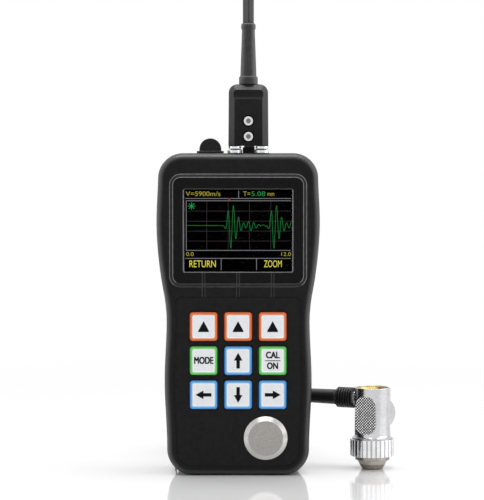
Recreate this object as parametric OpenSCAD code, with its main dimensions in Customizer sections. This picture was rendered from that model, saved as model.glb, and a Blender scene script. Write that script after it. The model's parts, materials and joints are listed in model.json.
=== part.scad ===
// Hand-held ultrasonic thickness gauge with its twin-plug lead and two-crystal probe.
// Millimetres. X runs to the right, Y to the back, Z up. The origin is the centre of the case's foot.

/* [Case] */
// Distance from the bezel to the widest part of the case
side_margin = 6; // [5.5:0.25:7.5]
// Distance from the keys to the waist of the case
waist_margin = 10.6; // [10:0.2:12.4]
// How much the case swells beside the keys, on each side
lower_swell = 1; // [0.5:0.1:1.6]
// How much the case narrows to its foot, on each side
foot_taper = 1.1; // [0.6:0.1:1.6]
// Distance from the bezel to the top of the case
top_margin = 9.4; // [8:0.2:12]
// Corner radius at the top
top_corner_r = 11.5; // [10:0.5:12]
// Corner radius at the foot
foot_corner_r = 12; // [10:0.5:13]
// Wall thickness of both shells
wall = 2.5; // [2.2:0.1:2.7]
// Rounding of the front edge, seen from the front
front_edge_r = 3.7; // [3:0.1:4.2]
// Depth over which the front edge rounds
front_edge_l = 5; // [3.5:0.25:6]
// Rounding of the back edge, seen from the back
back_edge_r = 6; // [4:0.25:6.5]
// Depth over which the back edge rounds
back_edge_l = 7; // [5:0.25:8]
// Room behind the main board, up to the seal
front_room = 5.5; // [5.25:0.25:8]
// Room between the seal and the battery bay
bay_room = 5; // [4.5:0.25:8]
// Width of the seal between the shells
seal_w = 1.2; // [1:0.1:1.3]
// Depth of the seal in its groove
seal_t = 1; // [0.6:0.1:1.5]

/* [Display] */
// Width of the clear window
window_w = 51.2; // [46:0.4:56]
// Height of the clear window
window_h = 39; // [35:0.4:44]
// Thickness of the clear window
window_t = 1.5; // [1:0.1:1.6]
// Width of the ledge that the window lies on
window_ledge = 1.1; // [0.8:0.1:1.5]
// Distance from the window to the bezel's side edges
bezel_rim_w = 6.4; // [5.4:0.1:7.4]
// Distance from the window to the bezel's upper and lower edges
bezel_rim_h = 6.9; // [6:0.1:8]
// Width of the bezel's sloped rim
bezel_slope = 2; // [1:0.1:2.5]
// How far the bezel stands proud of the front face
bezel_rise = 0.9; // [0.8:0.1:1.2]
// Corner radius of the bezel
bezel_corner_r = 5; // [3:0.25:6]
// Distance from the keypad sheet to the bezel
bezel_gap = 4.6; // [4:0.2:7]
// How far the display module reaches past the window's sides
lcd_margin_w = 3.4; // [2:0.2:4]
// How far the display module reaches past the window's upper and lower edges
lcd_margin_h = 1.8; // [1:0.1:2]

/* [Keypad] */
// Side of a key
key_size = 13.4; // [12:0.1:15]
// Space between two keys in a row
key_space_x = 2.6; // [2.4:0.1:4]
// Space between two keys in a column
key_space_z = 2.45; // [2.4:0.05:4]
// How far a key stands proud of the front face
key_rise = 1.1; // [0.9:0.1:1.6]
// Travel of a key
key_travel = 0.8; // [0.4:0.1:0.8]
// Corner radius of a key
key_corner_r = 1.4; // [1:0.1:2]
// Clearance round a key
key_gap = 0.3; // [0.2:0.05:0.4]
// Width of the flange that keeps a key in the shell
key_flange_w = 0.7; // [0.5:0.1:0.8]
// Thickness of that flange
key_flange_t = 0.8; // [0.6:0.1:1]
// Thickness of the keypad sheet
sheet_t = 0.5; // [0.3:0.05:0.7]
// Distance from the keypad sheet to the case's outline
sheet_margin = 4.7; // [4.4:0.1:5.5]
// Distance from the keys to the keypad sheet's top edge
sheet_top_margin = 6.8; // [6:0.2:9]

/* [Test disc] */
// Diameter of the steel test disc
disc_d = 20.4; // [18:0.2:24]
// Width of the bevel round its flat face
disc_bevel_w = 2.1; // [1:0.1:3]
// Thickness of the disc
disc_t = 4; // [3.6:0.1:4.6]
// How far it stands proud of the front face
disc_rise = 1.1; // [0.8:0.1:1.5]
// Distance from the foot of the case to the disc
disc_margin = 7.5; // [7:0.1:10]
// Distance from the disc to the keys
disc_gap = 3.4; // [3:0.1:6]

/* [Batteries] */
// Diameter of an AA cell
cell_d = 14.5; // [13.5:0.1:16]
// Length of an AA cell with its cap
cell_l = 50.5; // [44:0.5:56]
// Space between the two cells
cell_space = 0.7; // [0.5:0.1:1.5]
// Room for a spring leaf at each end of a cell
leaf_room = 3.75; // [3.25:0.25:5]
// Room beside the cells
bay_side = 4.15; // [4:0.05:4.5]
// How far the battery door laps over the sides of the bay
door_lap_w = 2; // [1.5:0.25:3]
// How far the battery door laps over the ends of the bay
door_lap_h = 3; // [2:0.25:4]
// Thickness of the battery door
door_t = 1.85; // [1.6:0.05:2.1]
// Height of the door's lower edge above the foot
door_z = 16; // [15.5:0.25:17]
// How far the door slides down
door_travel = 12; // [8:0.5:12]

/* [Connectors] */
// Place of the probe connector across the case
plug_x = 4.8; // [3.5:0.2:6]
// Distance between the two sockets
plug_pitch = 12.8; // [12.6:0.1:13.4]
// Diameter of a socket's ring
socket_d = 7; // [6.6:0.1:7.2]
// How far a socket stands above the case
socket_rise = 2; // [1.5:0.1:2.5]
// Diameter of a plug pin
pin_d = 4; // [3.6:0.1:4.2]
// How far a pin goes into its socket
pin_depth = 5.5; // [4:0.25:6]
// Width of the plug's wall beside its pins
plug_wall = 0.55; // [0.4:0.05:1.5]
// Height of the plug
plug_h = 28.8; // [27:0.4:31]
// Depth of the plug
plug_d = 11.5; // [10.5:0.5:13]
// Distance from the case to the plug's foot
plug_lift = 3.5; // [3.2:0.1:4]
// Corner radius at the plug's top
plug_corner_r = 4; // [3:0.25:4.75]
// Diameter of the boot's foot
boot_d = 8.8; // [8:0.1:9.6]
// Height of the boot above the plug
boot_h = 28.7; // [28.7:0.1:28.7]
// Width of the rubber cap's tab
cap_w = 10.3; // [9.8:0.1:11]
// Height of the rubber cap's tab
cap_h = 7; // [6.4:0.1:7.6]
// Place of the rubber cap across the case
cap_x = -13.1; // [-13.5:0.1:-12.5]

/* [Probe] */
// Place of the probe across the case
probe_x = 63.9; // [63.9:0.1:63.9]
// Place of the probe behind the case's middle
probe_y = 6; // [6:0.1:6]
// Height of the probe
probe_h = 38.8; // [38.2:0.1:41]
// Diameter of the probe's body
probe_d = 17; // [16.4:0.2:17.6]
// Diameter of the fluted collar
collar_d = 21.3; // [20.6:0.1:22]
// Height of the fluted collar
collar_h = 8.2; // [7.6:0.1:8.6]
// Diameter of the nose below the collar
nose_d = 16.4; // [15:0.2:17]
// Height of the nose
nose_h = 6.2; // [5.6:0.1:6.6]
// Diameter of the sensing tip
tip_d = 10.2; // [9.4:0.1:11]
// Width of the front grip pad
grip_w = 10; // [9:0.2:11]
// Turn of the grip pads from the front, towards the left
grip_turn = 27; // [20:1:35]
// Turn of the lead's sleeve from the left, towards the back
sleeve_turn = 26; // [26:1:26]
// Length of the lead's sleeve, from the probe's axis
sleeve_l = 37.7; // [37.7:0.1:37.7]

/* [Lead] */
// Width of the twin lead
lead_w = 5.2; // [4.6:0.1:5.4]
// Thickness of the twin lead
lead_t = 2.6; // [2.3:0.1:2.6]
// Radius of the coil at the middle of the lead
coil_r = 28; // [28:1:28]
// Distance from turn to turn of the coil
coil_pitch = 3.2; // [3.1:0.05:3.4]

/* [Hidden] */
key_rows = [
    ["key_left", -1, 0, "cornflowerblue"], ["key_down", 0, 0, "cornflowerblue"],
    ["key_right", 1, 0, "cornflowerblue"], ["key_menu", -1, 1, "mediumseagreen"],
    ["key_up", 0, 1, "cornflowerblue"], ["key_power", 1, 1, "mediumseagreen"],
    ["key_soft_left", -1, 2, "sandybrown"], ["key_soft_middle", 0, 2, "sandybrown"],
    ["key_soft_right", 1, 2, "sandybrown"]
];
$fn = 48;

// Overrun of every cut, running clearances and the seat of a fixed piece
over = 1;
slide_gap = 0.15;
snug = 0.02;

// Sizes of the stack of pieces in the case, from front to back
lcd_t = 3.4;
board_t = 1.6;
bay_wall = 1.6;
cell_sink = 1.6;
bay_depth = cell_d - cell_sink;
front_shell_d = wall + lcd_t + board_t + front_room;
case_d = front_shell_d + bay_room + bay_wall + bay_depth + wall + slide_gap + door_t;

// Planes of the case, from front to back
front_y = -case_d / 2;
split_y = front_y + front_shell_d;
back_y = case_d / 2 - door_t - slide_gap;
inner_front_y = front_y + wall;
inner_back_y = back_y - wall;
board_y = inner_front_y + lcd_t;
bay_floor_y = inner_back_y - bay_depth;

// Heights of what shows on the front, from the foot up
disc_z = disc_margin + disc_d / 2;
key_row_z = disc_z + disc_d / 2 + disc_gap + key_size / 2;
key_pitch_x = key_size + key_space_x;
key_pitch_z = key_size + key_space_z;
sheet_top_z = key_row_z + 2 * key_pitch_z + key_size / 2 + sheet_top_margin;
bezel_w = window_w + 2 * bezel_rim_w;
bezel_h = window_h + 2 * bezel_rim_h;
display_z = sheet_top_z + bezel_gap + bezel_h / 2;
lcd_w = window_w + 2 * lcd_margin_w;
lcd_h = window_h + 2 * lcd_margin_h;
case_h = display_z + bezel_h / 2 + top_margin;
inner_top_z = case_h - wall;

// Widths of the case
case_w = bezel_w + 2 * side_margin;
waist_w = 2 * key_pitch_x + key_size + 2 * waist_margin;
lower_w = waist_w + 2 * lower_swell;
foot_w = lower_w - 2 * foot_taper;
disc_side = 3.2;
disc_x = key_pitch_x - disc_side;

// The side of the case: height as a share of the case's height, and the half width there
lobe = (case_w - waist_w) / 2;
height_shares = [0, 0.11, 0.29, 0.475, 0.54, 0.61, 0.70, 0.79, 0.92, 1];
lobe_shares = [0.14, 0.53, 0.87, 1, 0.83, 0.80];
station_widths = concat([foot_w, foot_w, lower_w, waist_w],
    [for (share = lobe_shares) waist_w + 2 * share * lobe]);
last_station = len(height_shares) - 1;
side_stations = [for (i = [0 : last_station]) [height_shares[i], station_widths[i] / 2]];
function slope_at(k) = k == 0 || k == last_station ? 0 :
    (side_stations[k + 1][1] - side_stations[k - 1][1])
    / (side_stations[k + 1][0] - side_stations[k - 1][0]);
function half_width(z) =
    let (share = min(max(z / case_h, 0), 1),
         k = max([for (i = [0 : last_station - 1]) if (side_stations[i][0] <= share) i]),
         span = side_stations[k + 1][0] - side_stations[k][0],
         t = (share - side_stations[k][0]) / span)
    (2 * t^3 - 3 * t^2 + 1) * side_stations[k][1]
    + (t^3 - 2 * t^2 + t) * span * slope_at(k)
    + (3 * t^2 - 2 * t^3) * side_stations[k + 1][1]
    + (t^3 - t^2) * span * slope_at(k + 1);

// Outlines are right halves from bottom to top, and a mirrored copy closes them
foot_steps = 6;
side_steps = 15;
top_steps = 7;
function closed(half) =
    concat(half, [for (i = [len(half) - 1 : -1 : 0]) [-half[i][0], half[i][1]]]);
function case_half(inset, top_z, top_r) =
    let (foot_r = foot_corner_r - inset, foot_x = foot_w / 2 - foot_corner_r)
    concat(
        [for (i = [0 : foot_steps - 1]) let (a = 90 * i / foot_steps)
            [foot_x + foot_r * sin(a), foot_corner_r - foot_r * cos(a)]],
        [for (i = [0 : side_steps - 1])
            let (z = foot_corner_r + (top_z - top_r - foot_corner_r) * i / side_steps)
            [half_width(z) - inset, z]],
        [for (i = [0 : top_steps]) let (a = 90 * i / top_steps, z = top_z - top_r + top_r * sin(a))
            [half_width(z) - inset - top_r * (1 - cos(a)), z]]);
function case_outline(inset) =
    closed(case_half(inset, case_h - inset, top_corner_r - inset));
function round_rect(w, h, r, steps = 4) = closed(concat(
    [for (i = [0 : steps]) let (a = 90 * i / steps)
        [w / 2 - r + r * sin(a), -h / 2 + r - r * cos(a)]],
    [for (i = [0 : steps]) let (a = 90 * i / steps)
        [w / 2 - r + r * cos(a), h / 2 - r + r * sin(a)]]));

// Skins rings of equal point counts, each ring anticlockwise when seen along the sweep
function skin_faces(n, rings) = concat(
    [for (i = [0 : n / 2 - 2]) [n - 1 - i, n - 2 - i, i + 1, i]],
    [for (k = [0 : rings - 2]) for (i = [0 : n - 1]) for (half = [0, 1])
        let (a = k * n + i, b = k * n + (i + 1) % n)
        half == 0 ? [a, b, b + n] : [a, b + n, a + n]],
    [for (i = [0 : n / 2 - 2]) let (s = (rings - 1) * n)
        [s + i, s + i + 1, s + n - 2 - i, s + n - 1 - i]]);
module loft(sections) {
    n = len(sections[0][1]);
    polyhedron(
        points = [for (s = sections) for (p = s[1]) [p[0], s[0], p[1]]],
        faces = skin_faces(n, len(sections)));
}

// An outline in X and Z, from one Y to another
module slab(y0, y1, outline) {
    translate([0, y1, 0]) rotate([90, 0, 0]) linear_extrude(y1 - y0) polygon(outline);
}
module ring_slab(y0, y1, outer, inner) {
    translate([0, y1, 0]) rotate([90, 0, 0]) linear_extrude(y1 - y0) difference() {
        polygon(outer);
        polygon(inner);
    }
}
module box(x0, x1, y0, y1, z0, z1) {
    translate([x0, y0, z0]) cube([x1 - x0, y1 - y0, z1 - z0]);
}
// A cylinder along Y from y0 to y1, or along Z from z0 to z1
module bar(x, z, y0, y1, d) {
    translate([x, y0, z]) rotate([-90, 0, 0]) cylinder(h = y1 - y0, d = d);
}
module post(x, y, z0, z1, d) {
    translate([x, y, z0]) cylinder(h = z1 - z0, d = d);
}
// A cross-recessed screw along Y: its head's seat, its head's outer face and its end
slot_shares = [0.16, 0.56, 0.55];
module cross_screw(x, z, seat_y, head_y, end_y, head_d, shank_d) {
    slot_w = head_d * slot_shares[0];
    slot_l = head_d * slot_shares[1];
    slot_t = abs(head_y - seat_y) * slot_shares[2];
    difference() {
        union() {
            bar(x, z, min(seat_y, head_y), max(seat_y, head_y), head_d);
            bar(x, z, min(seat_y, end_y), max(seat_y, end_y), shank_d);
        }
        for (turn = [0, 90])
            translate([x, head_y, z]) rotate([0, turn, 0])
                cube([slot_l, 2 * slot_t, slot_w], center = true);
    }
}

// Places and sizes that more than one piece uses
boss_d = 7;
column_d = 8.4;
screw_d = 2.9;
screw_head_d = 5.6;
screw_head_t = 2.4;
screw_l = 13;
screw_foot_margin = 7.2;
screw_low_x = foot_w / 2 - screw_foot_margin;
screw_low_z = 16;
screw_side_margin = 10;
screw_high_x = case_w / 2 - screw_side_margin;
screw_top_margin = 8.5;
screw_high_z = case_h - screw_top_margin;
case_screw_places = [
    [-screw_low_x, screw_low_z], [screw_low_x, screw_low_z],
    [-screw_high_x, screw_high_z], [screw_high_x, screw_high_z]
];
screw_bridge = 5.5;
screw_seat_y = split_y + screw_bridge;
head_clearance = 0.3;

board_margin = 8.3;
board_w = waist_w - 2 * board_margin;
board_low_z = 22;
board_top_margin = 13;
board_high_z = case_h - board_top_margin;
lcd_corner_r = 0.8;
board_post_d = 5;
board_screw_d = 1.9;

key_x = function (k) k[1] * key_pitch_x;
key_z = function (k) key_row_z + k[2] * key_pitch_z;
key_hole = key_size + 2 * key_gap;
key_hole_r = key_corner_r + key_gap;
flange_size = key_hole + 2 * key_flange_w - key_gap;
post_gap = 0.95;
post_rise = 0.8;
post_low_margin = 1.5;
post_high_margin = 3;
post_low_x = board_w / 2 - post_low_margin;
post_low_z = key_row_z - flange_size / 2 - board_post_d / 2 - post_gap;
post_high_x = board_w / 2 - post_high_margin;
post_high_z = sheet_top_z + post_rise;
board_post_places = [
    [-post_low_x, post_low_z], [post_low_x, post_low_z],
    [-post_high_x, post_high_z], [post_high_x, post_high_z]
];
sheet_gap = 0.2;
sheet_sink = 0.1;
sheet_recess = sheet_t + sheet_sink;
sheet_corner_r = 4;
window_gap = 0.1;
window_corner_r = 1;

cup_wall = 2;
disc_bevel_t = 1;

// FRONT SHELL: moulded half with bezel, keypad recess, key holes, bosses and disc cup
front_edge_steps = 4;
mark_w = 1.3;
mark_t = 0.35;
module front_body() {
    difference() {
        loft(concat(
            [for (i = [0 : front_edge_steps]) let (a = 90 * i / front_edge_steps)
                [front_y + front_edge_l * (1 - cos(a)),
                 case_outline(front_edge_r * (1 - sin(a)))]],
            [[split_y, case_outline(0)]]));
        slab(inner_front_y, split_y + over, case_outline(wall));
    }
}
module bezel() {
    translate([0, 0, display_z]) loft([
        [front_y - bezel_rise, round_rect(bezel_w - 2 * bezel_slope, bezel_h - 2 * bezel_slope,
            bezel_corner_r - bezel_slope / 2)],
        [front_y, round_rect(bezel_w, bezel_h, bezel_corner_r)],
        [inner_front_y - wall / 2, round_rect(bezel_w, bezel_h, bezel_corner_r)]]);
}
module bezel_mark(x) {
    foot_z = display_z - bezel_h / 2;
    crest_z = foot_z + bezel_slope;
    face_y = front_y + mark_t;
    crest_y = front_y - bezel_rise + mark_t;
    translate([x - mark_w / 2, 0, 0]) rotate([90, 0, 90]) linear_extrude(mark_w)
        polygon([
            [face_y, sheet_top_z], [face_y, foot_z], [crest_y, crest_z],
            [crest_y, display_z - window_h / 2 + window_gap], [front_y - bezel_rise - over,
             display_z - window_h / 2 + window_gap], [front_y - bezel_rise - over, sheet_top_z]]);
}
module front_shell() {
    window_y = front_y - bezel_rise + window_t + window_gap;
    color("#1b1b1d") difference() {
        union() {
            front_body();
            bezel();
            for (p = case_screw_places) bar(p[0], p[1], inner_front_y - wall / 2, split_y, boss_d);
            for (p = board_post_places)
                bar(p[0], p[1], inner_front_y - wall / 2, board_y, board_post_d);
            bar(disc_x, disc_z, inner_front_y - wall / 2,
                front_y - disc_rise + disc_t + board_t, disc_d + 2 * cup_wall);
        }
        translate([0, 0, display_z]) {
            slab(front_y - bezel_rise - over, window_y,
                round_rect(window_w + 2 * window_gap, window_h + 2 * window_gap,
                    window_corner_r + window_gap));
            slab(window_y - over, inner_front_y + over,
                round_rect(window_w - 2 * window_ledge, window_h - 2 * window_ledge,
                    window_corner_r));
        }
        for (k = [-1, 0, 1]) bezel_mark(k * key_pitch_x);
        slab(front_y - over, front_y + sheet_recess, closed(case_half(
            sheet_margin - sheet_gap, sheet_top_z + sheet_gap, sheet_corner_r)));
        for (k = key_rows) translate([key_x(k), 0, key_z(k)])
            slab(front_y - over, inner_front_y + over, round_rect(key_hole, key_hole, key_hole_r, 3));
        bar(disc_x, disc_z, front_y - over, front_y - disc_rise + disc_t, disc_d + 2 * snug);
        for (p = case_screw_places)
            bar(p[0], p[1], screw_seat_y - screw_l - over, split_y + over, screw_d + 2 * snug);
        for (p = board_post_places)
            bar(p[0], p[1], inner_front_y, board_y + over, board_screw_d + 2 * snug);
    }
}

// REAR SHELL: deep half with the top wall, the battery bay and the screw columns
back_edge_steps = 4;
cell_pitch = cell_d + cell_space;
bay_w = cell_pitch + cell_d + 2 * bay_side;
bay_low_z = door_z + door_lap_h;
bay_high_z = bay_low_z + cell_l + 2 * leaf_room;
door_w = bay_w + 2 * door_lap_w;
door_h = bay_high_z - bay_low_z + 2 * door_lap_h;
window_inset = 1.5;
key_post_gap = 0.2;
key_post_w = plug_pitch - socket_d - 2 * key_post_gap;
key_post_d = 5;
key_post_h = 2.8;
top_margin_y = 5.5;
top_y = split_y + top_margin_y;
socket_body_d = socket_d - 1;
cap_plug_w = 9.4;
cap_plug_d = 5.4;
cap_plug_t = 1.3;
cap_plug_gap = 0.4;
module rear_shell() {
    color("#1b1b1d") difference() {
        union() {
            difference() {
                loft(concat([[split_y, case_outline(0)]],
                    [for (i = [0 : back_edge_steps]) let (a = 90 * i / back_edge_steps)
                        [back_y - back_edge_l * (1 - sin(a)),
                         case_outline(back_edge_r * (1 - cos(a)))]]));
                slab(split_y - over, inner_back_y, case_outline(wall));
            }
            box(-bay_w / 2 - bay_wall, bay_w / 2 + bay_wall, bay_floor_y - bay_wall,
                inner_back_y + wall / 2, bay_low_z - bay_wall, bay_high_z + bay_wall);
            for (p = case_screw_places) bar(p[0], p[1], split_y, inner_back_y + wall / 2, column_d);
            translate([0, top_y, 0])
                box(plug_x - key_post_w / 2, plug_x + key_post_w / 2, -key_post_d / 2,
                    key_post_d / 2, inner_top_z + wall / 2, case_h + key_post_h);
        }
        ring_slab(split_y - over, split_y + seal_t, case_outline((wall - seal_w) / 2 - snug),
            case_outline((wall + seal_w) / 2 + snug));
        box(-bay_w / 2, bay_w / 2, bay_floor_y, inner_back_y, bay_low_z, bay_high_z);
        box(window_inset - bay_w / 2, bay_w / 2 - window_inset, inner_back_y - over, back_y + over,
            bay_low_z + window_inset, bay_high_z - window_inset);
        for (p = case_screw_places) {
            bar(p[0], p[1], split_y - over, back_y, screw_d + head_clearance);
            bar(p[0], p[1], screw_seat_y, back_y + over, screw_head_d + 2 * head_clearance);
        }
        for (side = [-1, 1])
            post(plug_x + side * plug_pitch / 2, top_y, inner_top_z - over, case_h + over,
                socket_body_d + 2 * snug);
        translate([cap_x, top_y, 0])
            box(-cap_plug_w / 2 - cap_plug_gap, cap_plug_w / 2 + cap_plug_gap,
                -cap_plug_d / 2 - cap_plug_gap, cap_plug_d / 2 + cap_plug_gap,
                inner_top_z - over, case_h + over);
    }
}
module case_gasket() {
    color("#33343a") ring_slab(split_y, split_y + seal_t,
        case_outline((wall - seal_w) / 2), case_outline((wall + seal_w) / 2));
}
module case_screws() {
    color("silver") for (p = case_screw_places)
        cross_screw(p[0], p[1], screw_seat_y, screw_seat_y + screw_head_t,
            screw_seat_y - screw_l, screw_head_d, screw_d);
}

// DISPLAY AND KEYPAD
window_edge = 0.35;
module display_window() {
    top_y = front_y - bezel_rise + window_gap;
    color([0.55, 0.6, 0.62, 0.5]) translate([0, 0, display_z]) loft([
        [top_y, round_rect(window_w - 2 * window_edge, window_h - 2 * window_edge,
            window_corner_r)],
        [top_y + window_edge, round_rect(window_w, window_h, window_corner_r)],
        [top_y + window_t, round_rect(window_w, window_h, window_corner_r)]]);
}
module lcd_module() {
    color("#20262a") translate([0, 0, display_z])
        slab(inner_front_y, board_y, round_rect(lcd_w, lcd_h, lcd_corner_r, 3));
}
module keypad_overlay() {
    color("#232325") difference() {
        slab(front_y + sheet_recess - sheet_t, front_y + sheet_recess,
            closed(case_half(sheet_margin, sheet_top_z, sheet_corner_r)));
        for (k = key_rows) translate([key_x(k), 0, key_z(k)])
            slab(front_y - over, front_y + sheet_recess + over,
                round_rect(key_hole, key_hole, key_hole_r, 3));
        bar(disc_x, disc_z, front_y - over, front_y + sheet_recess + over, disc_d + 2 * sheet_gap);
    }
}
key_edge = 0.5;
module key(k) {
    cap = function (grow) round_rect(key_size + 2 * grow, key_size + 2 * grow, key_corner_r);
    flange = round_rect(flange_size, flange_size, key_corner_r);
    color(k[3]) translate([key_x(k), 0, key_z(k)]) loft([
        [front_y - key_rise, cap(-key_edge)],
        [front_y - key_rise + key_edge, cap(0)],
        [inner_front_y, cap(0)],
        [inner_front_y, flange],
        [inner_front_y + key_flange_t, flange]]);
}
module zero_disc() {
    r = disc_d / 2;
    color("#b9b6b0") translate([disc_x, front_y - disc_rise, disc_z]) rotate([-90, 0, 0])
        rotate_extrude() polygon([
            [0, 0], [r - disc_bevel_w, 0], [r, disc_bevel_t], [r, disc_t], [0, disc_t]]);
}

// ELECTRONICS
switch_d = 6;
switch_gap = 0.2;
switch_t = board_y - inner_front_y - key_flange_t - key_travel - switch_gap;
module main_board() {
    color("#1d5b3a") difference() {
        box(-board_w / 2, board_w / 2, board_y, board_y + board_t, board_low_z, board_high_z);
        for (p = board_post_places)
            bar(p[0], p[1], board_y - over, board_y + board_t + over, board_screw_d + 2 * snug);
    }
}
module board_screws() {
    color("silver") for (p = board_post_places)
        cross_screw(p[0], p[1], board_y + board_t, board_y + 2 * board_t,
            inner_front_y, 2 * board_screw_d, board_screw_d);
}
module key_switches() {
    color("#c9c9c4") for (k = key_rows)
        bar(key_x(k), key_z(k), board_y - switch_t, board_y, switch_d);
}
// Chips as [x, z, width, height, thickness]: shares of the board's width for all but thickness
chip_shares = [
    [0, 0.76, 0.30, 0.30, 0.03], [-0.28, 0.78, 0.16, 0.24, 0.03], [0.29, 0.80, 0.16, 0.20, 0.04],
    [0, 1.20, 0.62, 0.34, 0.07], [-0.26, 1.62, 0.22, 0.22, 0.05], [0.22, 1.64, 0.30, 0.18, 0.03],
    [0.05, 1.95, 0.20, 0.12, 0.05]
];
module board_chips() {
    color("#2a2a2c") for (c = chip_shares)
        translate([c[0] * board_w, board_y + board_t, board_low_z + c[1] * board_w])
            translate([-c[2] * board_w / 2, 0, -c[3] * board_w / 2])
                cube([c[2] * board_w, c[4] * board_w, c[3] * board_w]);
}

// BATTERIES AND DOOR
cell_gap = 0.2;
cell_y = bay_floor_y + cell_d / 2 + cell_gap;
cell_mid_z = (bay_low_z + bay_high_z) / 2;
cell_cap_d = 5.4;
cell_cap_h = 1.2;
contact_t = 0.4;
contact_w = 8;
contact_half_share = 0.33;
module cell(side) {
    color(side < 0 ? "#7d8a93" : "#6f7c86")
        translate([side * cell_pitch / 2, cell_y, cell_mid_z]) rotate([side < 0 ? 0 : 180, 0, 0])
        rotate_extrude() polygon([
            [0, -cell_l / 2], [cell_d / 2 - contact_t, -cell_l / 2],
            [cell_d / 2, -cell_l / 2 + contact_t],
            [cell_d / 2, cell_l / 2 - cell_cap_h - contact_t],
            [cell_d / 2 - contact_t, cell_l / 2 - cell_cap_h],
            [cell_cap_d / 2, cell_l / 2 - cell_cap_h], [cell_cap_d / 2, cell_l / 2],
            [0, cell_l / 2]]);
}
// A bent leaf from the bay's end wall to the cell's end, on the side where dir points
module contact_leaf(side, dir) {
    wall_z = dir > 0 ? bay_low_z : bay_high_z;
    reach = (bay_high_z - bay_low_z - cell_l) / 2 - slide_gap;
    half = cell_d * contact_half_share;
    translate([side * cell_pitch / 2 - contact_w / 2, cell_y, wall_z])
        rotate([90, 0, 90]) linear_extrude(contact_w)
        polygon([
            [-half, 0], [half, 0], [half, dir * contact_t], [-half / 2, dir * contact_t],
            [contact_t, dir * (reach - contact_t)], [half / 2, dir * reach / 2],
            [half / 2 + contact_t, dir * (reach / 2 + contact_t / 2)], [contact_t, dir * reach],
            [-contact_t, dir * reach], [-half, dir * 2 * contact_t]]);
}
module bridge_contact() {
    color("#c7b070") {
        for (side = [-1, 1]) contact_leaf(side, -1);
        box(-cell_pitch / 2, cell_pitch / 2, cell_y - contact_w / 2, cell_y + contact_w / 2,
            bay_high_z - contact_t, bay_high_z);
    }
}
module terminal_contacts() {
    color("#c7b070") for (side = [-1, 1]) contact_leaf(side, 1);
}
tongue_t = 1;
tongue_l = 32;
tongue_margin = 20;
tongue_low_z = door_z + tongue_margin;
lip_t = 0.9;
lip_w = 1.5;
door_corner_r = 3;
door_edge = 0.7;
thumb_grooves = 5;
groove_d = 1.2;
groove_pitch = 2.6;
groove_margin = 7;
groove_step = 2.4;
groove_share = 0.42;
module battery_door() {
    mid_z = door_z + door_h / 2;
    inner_y = back_y + slide_gap;
    outer_y = inner_y + door_t;
    tongue_x = bay_w / 2 - window_inset - 2 * slide_gap;
    lip_y = inner_back_y - slide_gap;
    color("#1e1e20") {
        difference() {
            translate([0, 0, mid_z]) loft([
                [inner_y, round_rect(door_w, door_h, door_corner_r)],
                [outer_y - door_edge, round_rect(door_w, door_h, door_corner_r)],
                [outer_y, round_rect(door_w - 2 * door_edge, door_h - 2 * door_edge,
                    door_corner_r - door_edge)]]);
            for (i = [0 : thumb_grooves - 1])
                translate([0, outer_y, door_z + door_h - groove_margin - i * groove_pitch])
                    rotate([0, 90, 0])
                    cylinder(h = door_w * groove_share - i * groove_step, d = groove_d, center = true);
        }
        for (side = [-1, 1]) scale([side, 1, 1]) {
            box(tongue_x - tongue_t, tongue_x, lip_y - lip_t, inner_y + door_t / 2,
                tongue_low_z, tongue_low_z + tongue_l);
            box(tongue_x - tongue_t, tongue_x + lip_w, lip_y - lip_t, lip_y,
                tongue_low_z, tongue_low_z + tongue_l);
        }
    }
}

// TOP WALL: sockets, their board, the data socket and its rubber cap
conn_board_t = 1.6;
conn_board_drop = 9.4;
conn_board_z = case_h - conn_board_drop;
conn_board_d = 11;
conn_board_margin = 7;
conn_board_front = 4.5;
nut_d = 8.6;
nut_t = 1.8;
pin_gap = 0.08;
pin_play = 0.5;
ring_edge = 0.4;
needle_d = 1;
module connector_board() {
    color("#1d5b3a") box(cap_x - conn_board_margin, plug_x + plug_pitch,
        top_y - conn_board_front, top_y - conn_board_front + conn_board_d,
        conn_board_z - conn_board_t, conn_board_z);
}
module socket(side) {
    bore_d = pin_d + 2 * pin_gap;
    color("#c8c9cc") translate([plug_x + side * plug_pitch / 2, top_y, 0]) {
        difference() {
            union() {
                post(0, 0, conn_board_z, case_h, socket_body_d);
                translate([0, 0, case_h]) rotate_extrude() polygon([
                    [0, 0], [socket_d / 2, 0], [socket_d / 2, socket_rise - ring_edge],
                    [socket_d / 2 - ring_edge, socket_rise], [0, socket_rise]]);
                translate([0, 0, inner_top_z - nut_t]) cylinder(h = nut_t, d = nut_d, $fn = 6);
            }
            post(0, 0, case_h - pin_depth - pin_play, case_h + socket_rise + over, bore_d);
        }
        post(0, 0, conn_board_z + over, case_h, needle_d);
    }
}
usb_w = 7.7;
usb_d = 3.9;
usb_wall = 0.4;
usb_gap = 0.3;
module usb_socket() {
    top_z = case_h - cap_plug_t - usb_gap;
    in_w = usb_w / 2 - usb_wall;
    in_d = usb_d / 2 - usb_wall;
    color("silver") translate([cap_x, top_y, 0]) difference() {
        box(-usb_w / 2, usb_w / 2, -usb_d / 2, usb_d / 2, conn_board_z, top_z);
        difference() {
            box(-in_w, in_w, -in_d, in_d, conn_board_z + over, top_z + over);
            box(-usb_w / 4, usb_w / 4, -usb_wall, usb_wall, conn_board_z, top_z - over);
        }
    }
}
cap_tab_t = 3.6;
cap_base_t = 1.1;
cap_base_w = 12.6;
cap_base_d = 8.4;
hinge_r = cap_base_t / 2;
hinge_y = cap_base_d / 2 + hinge_r;
anchor_d = 2;
anchor_w = 10;
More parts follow.
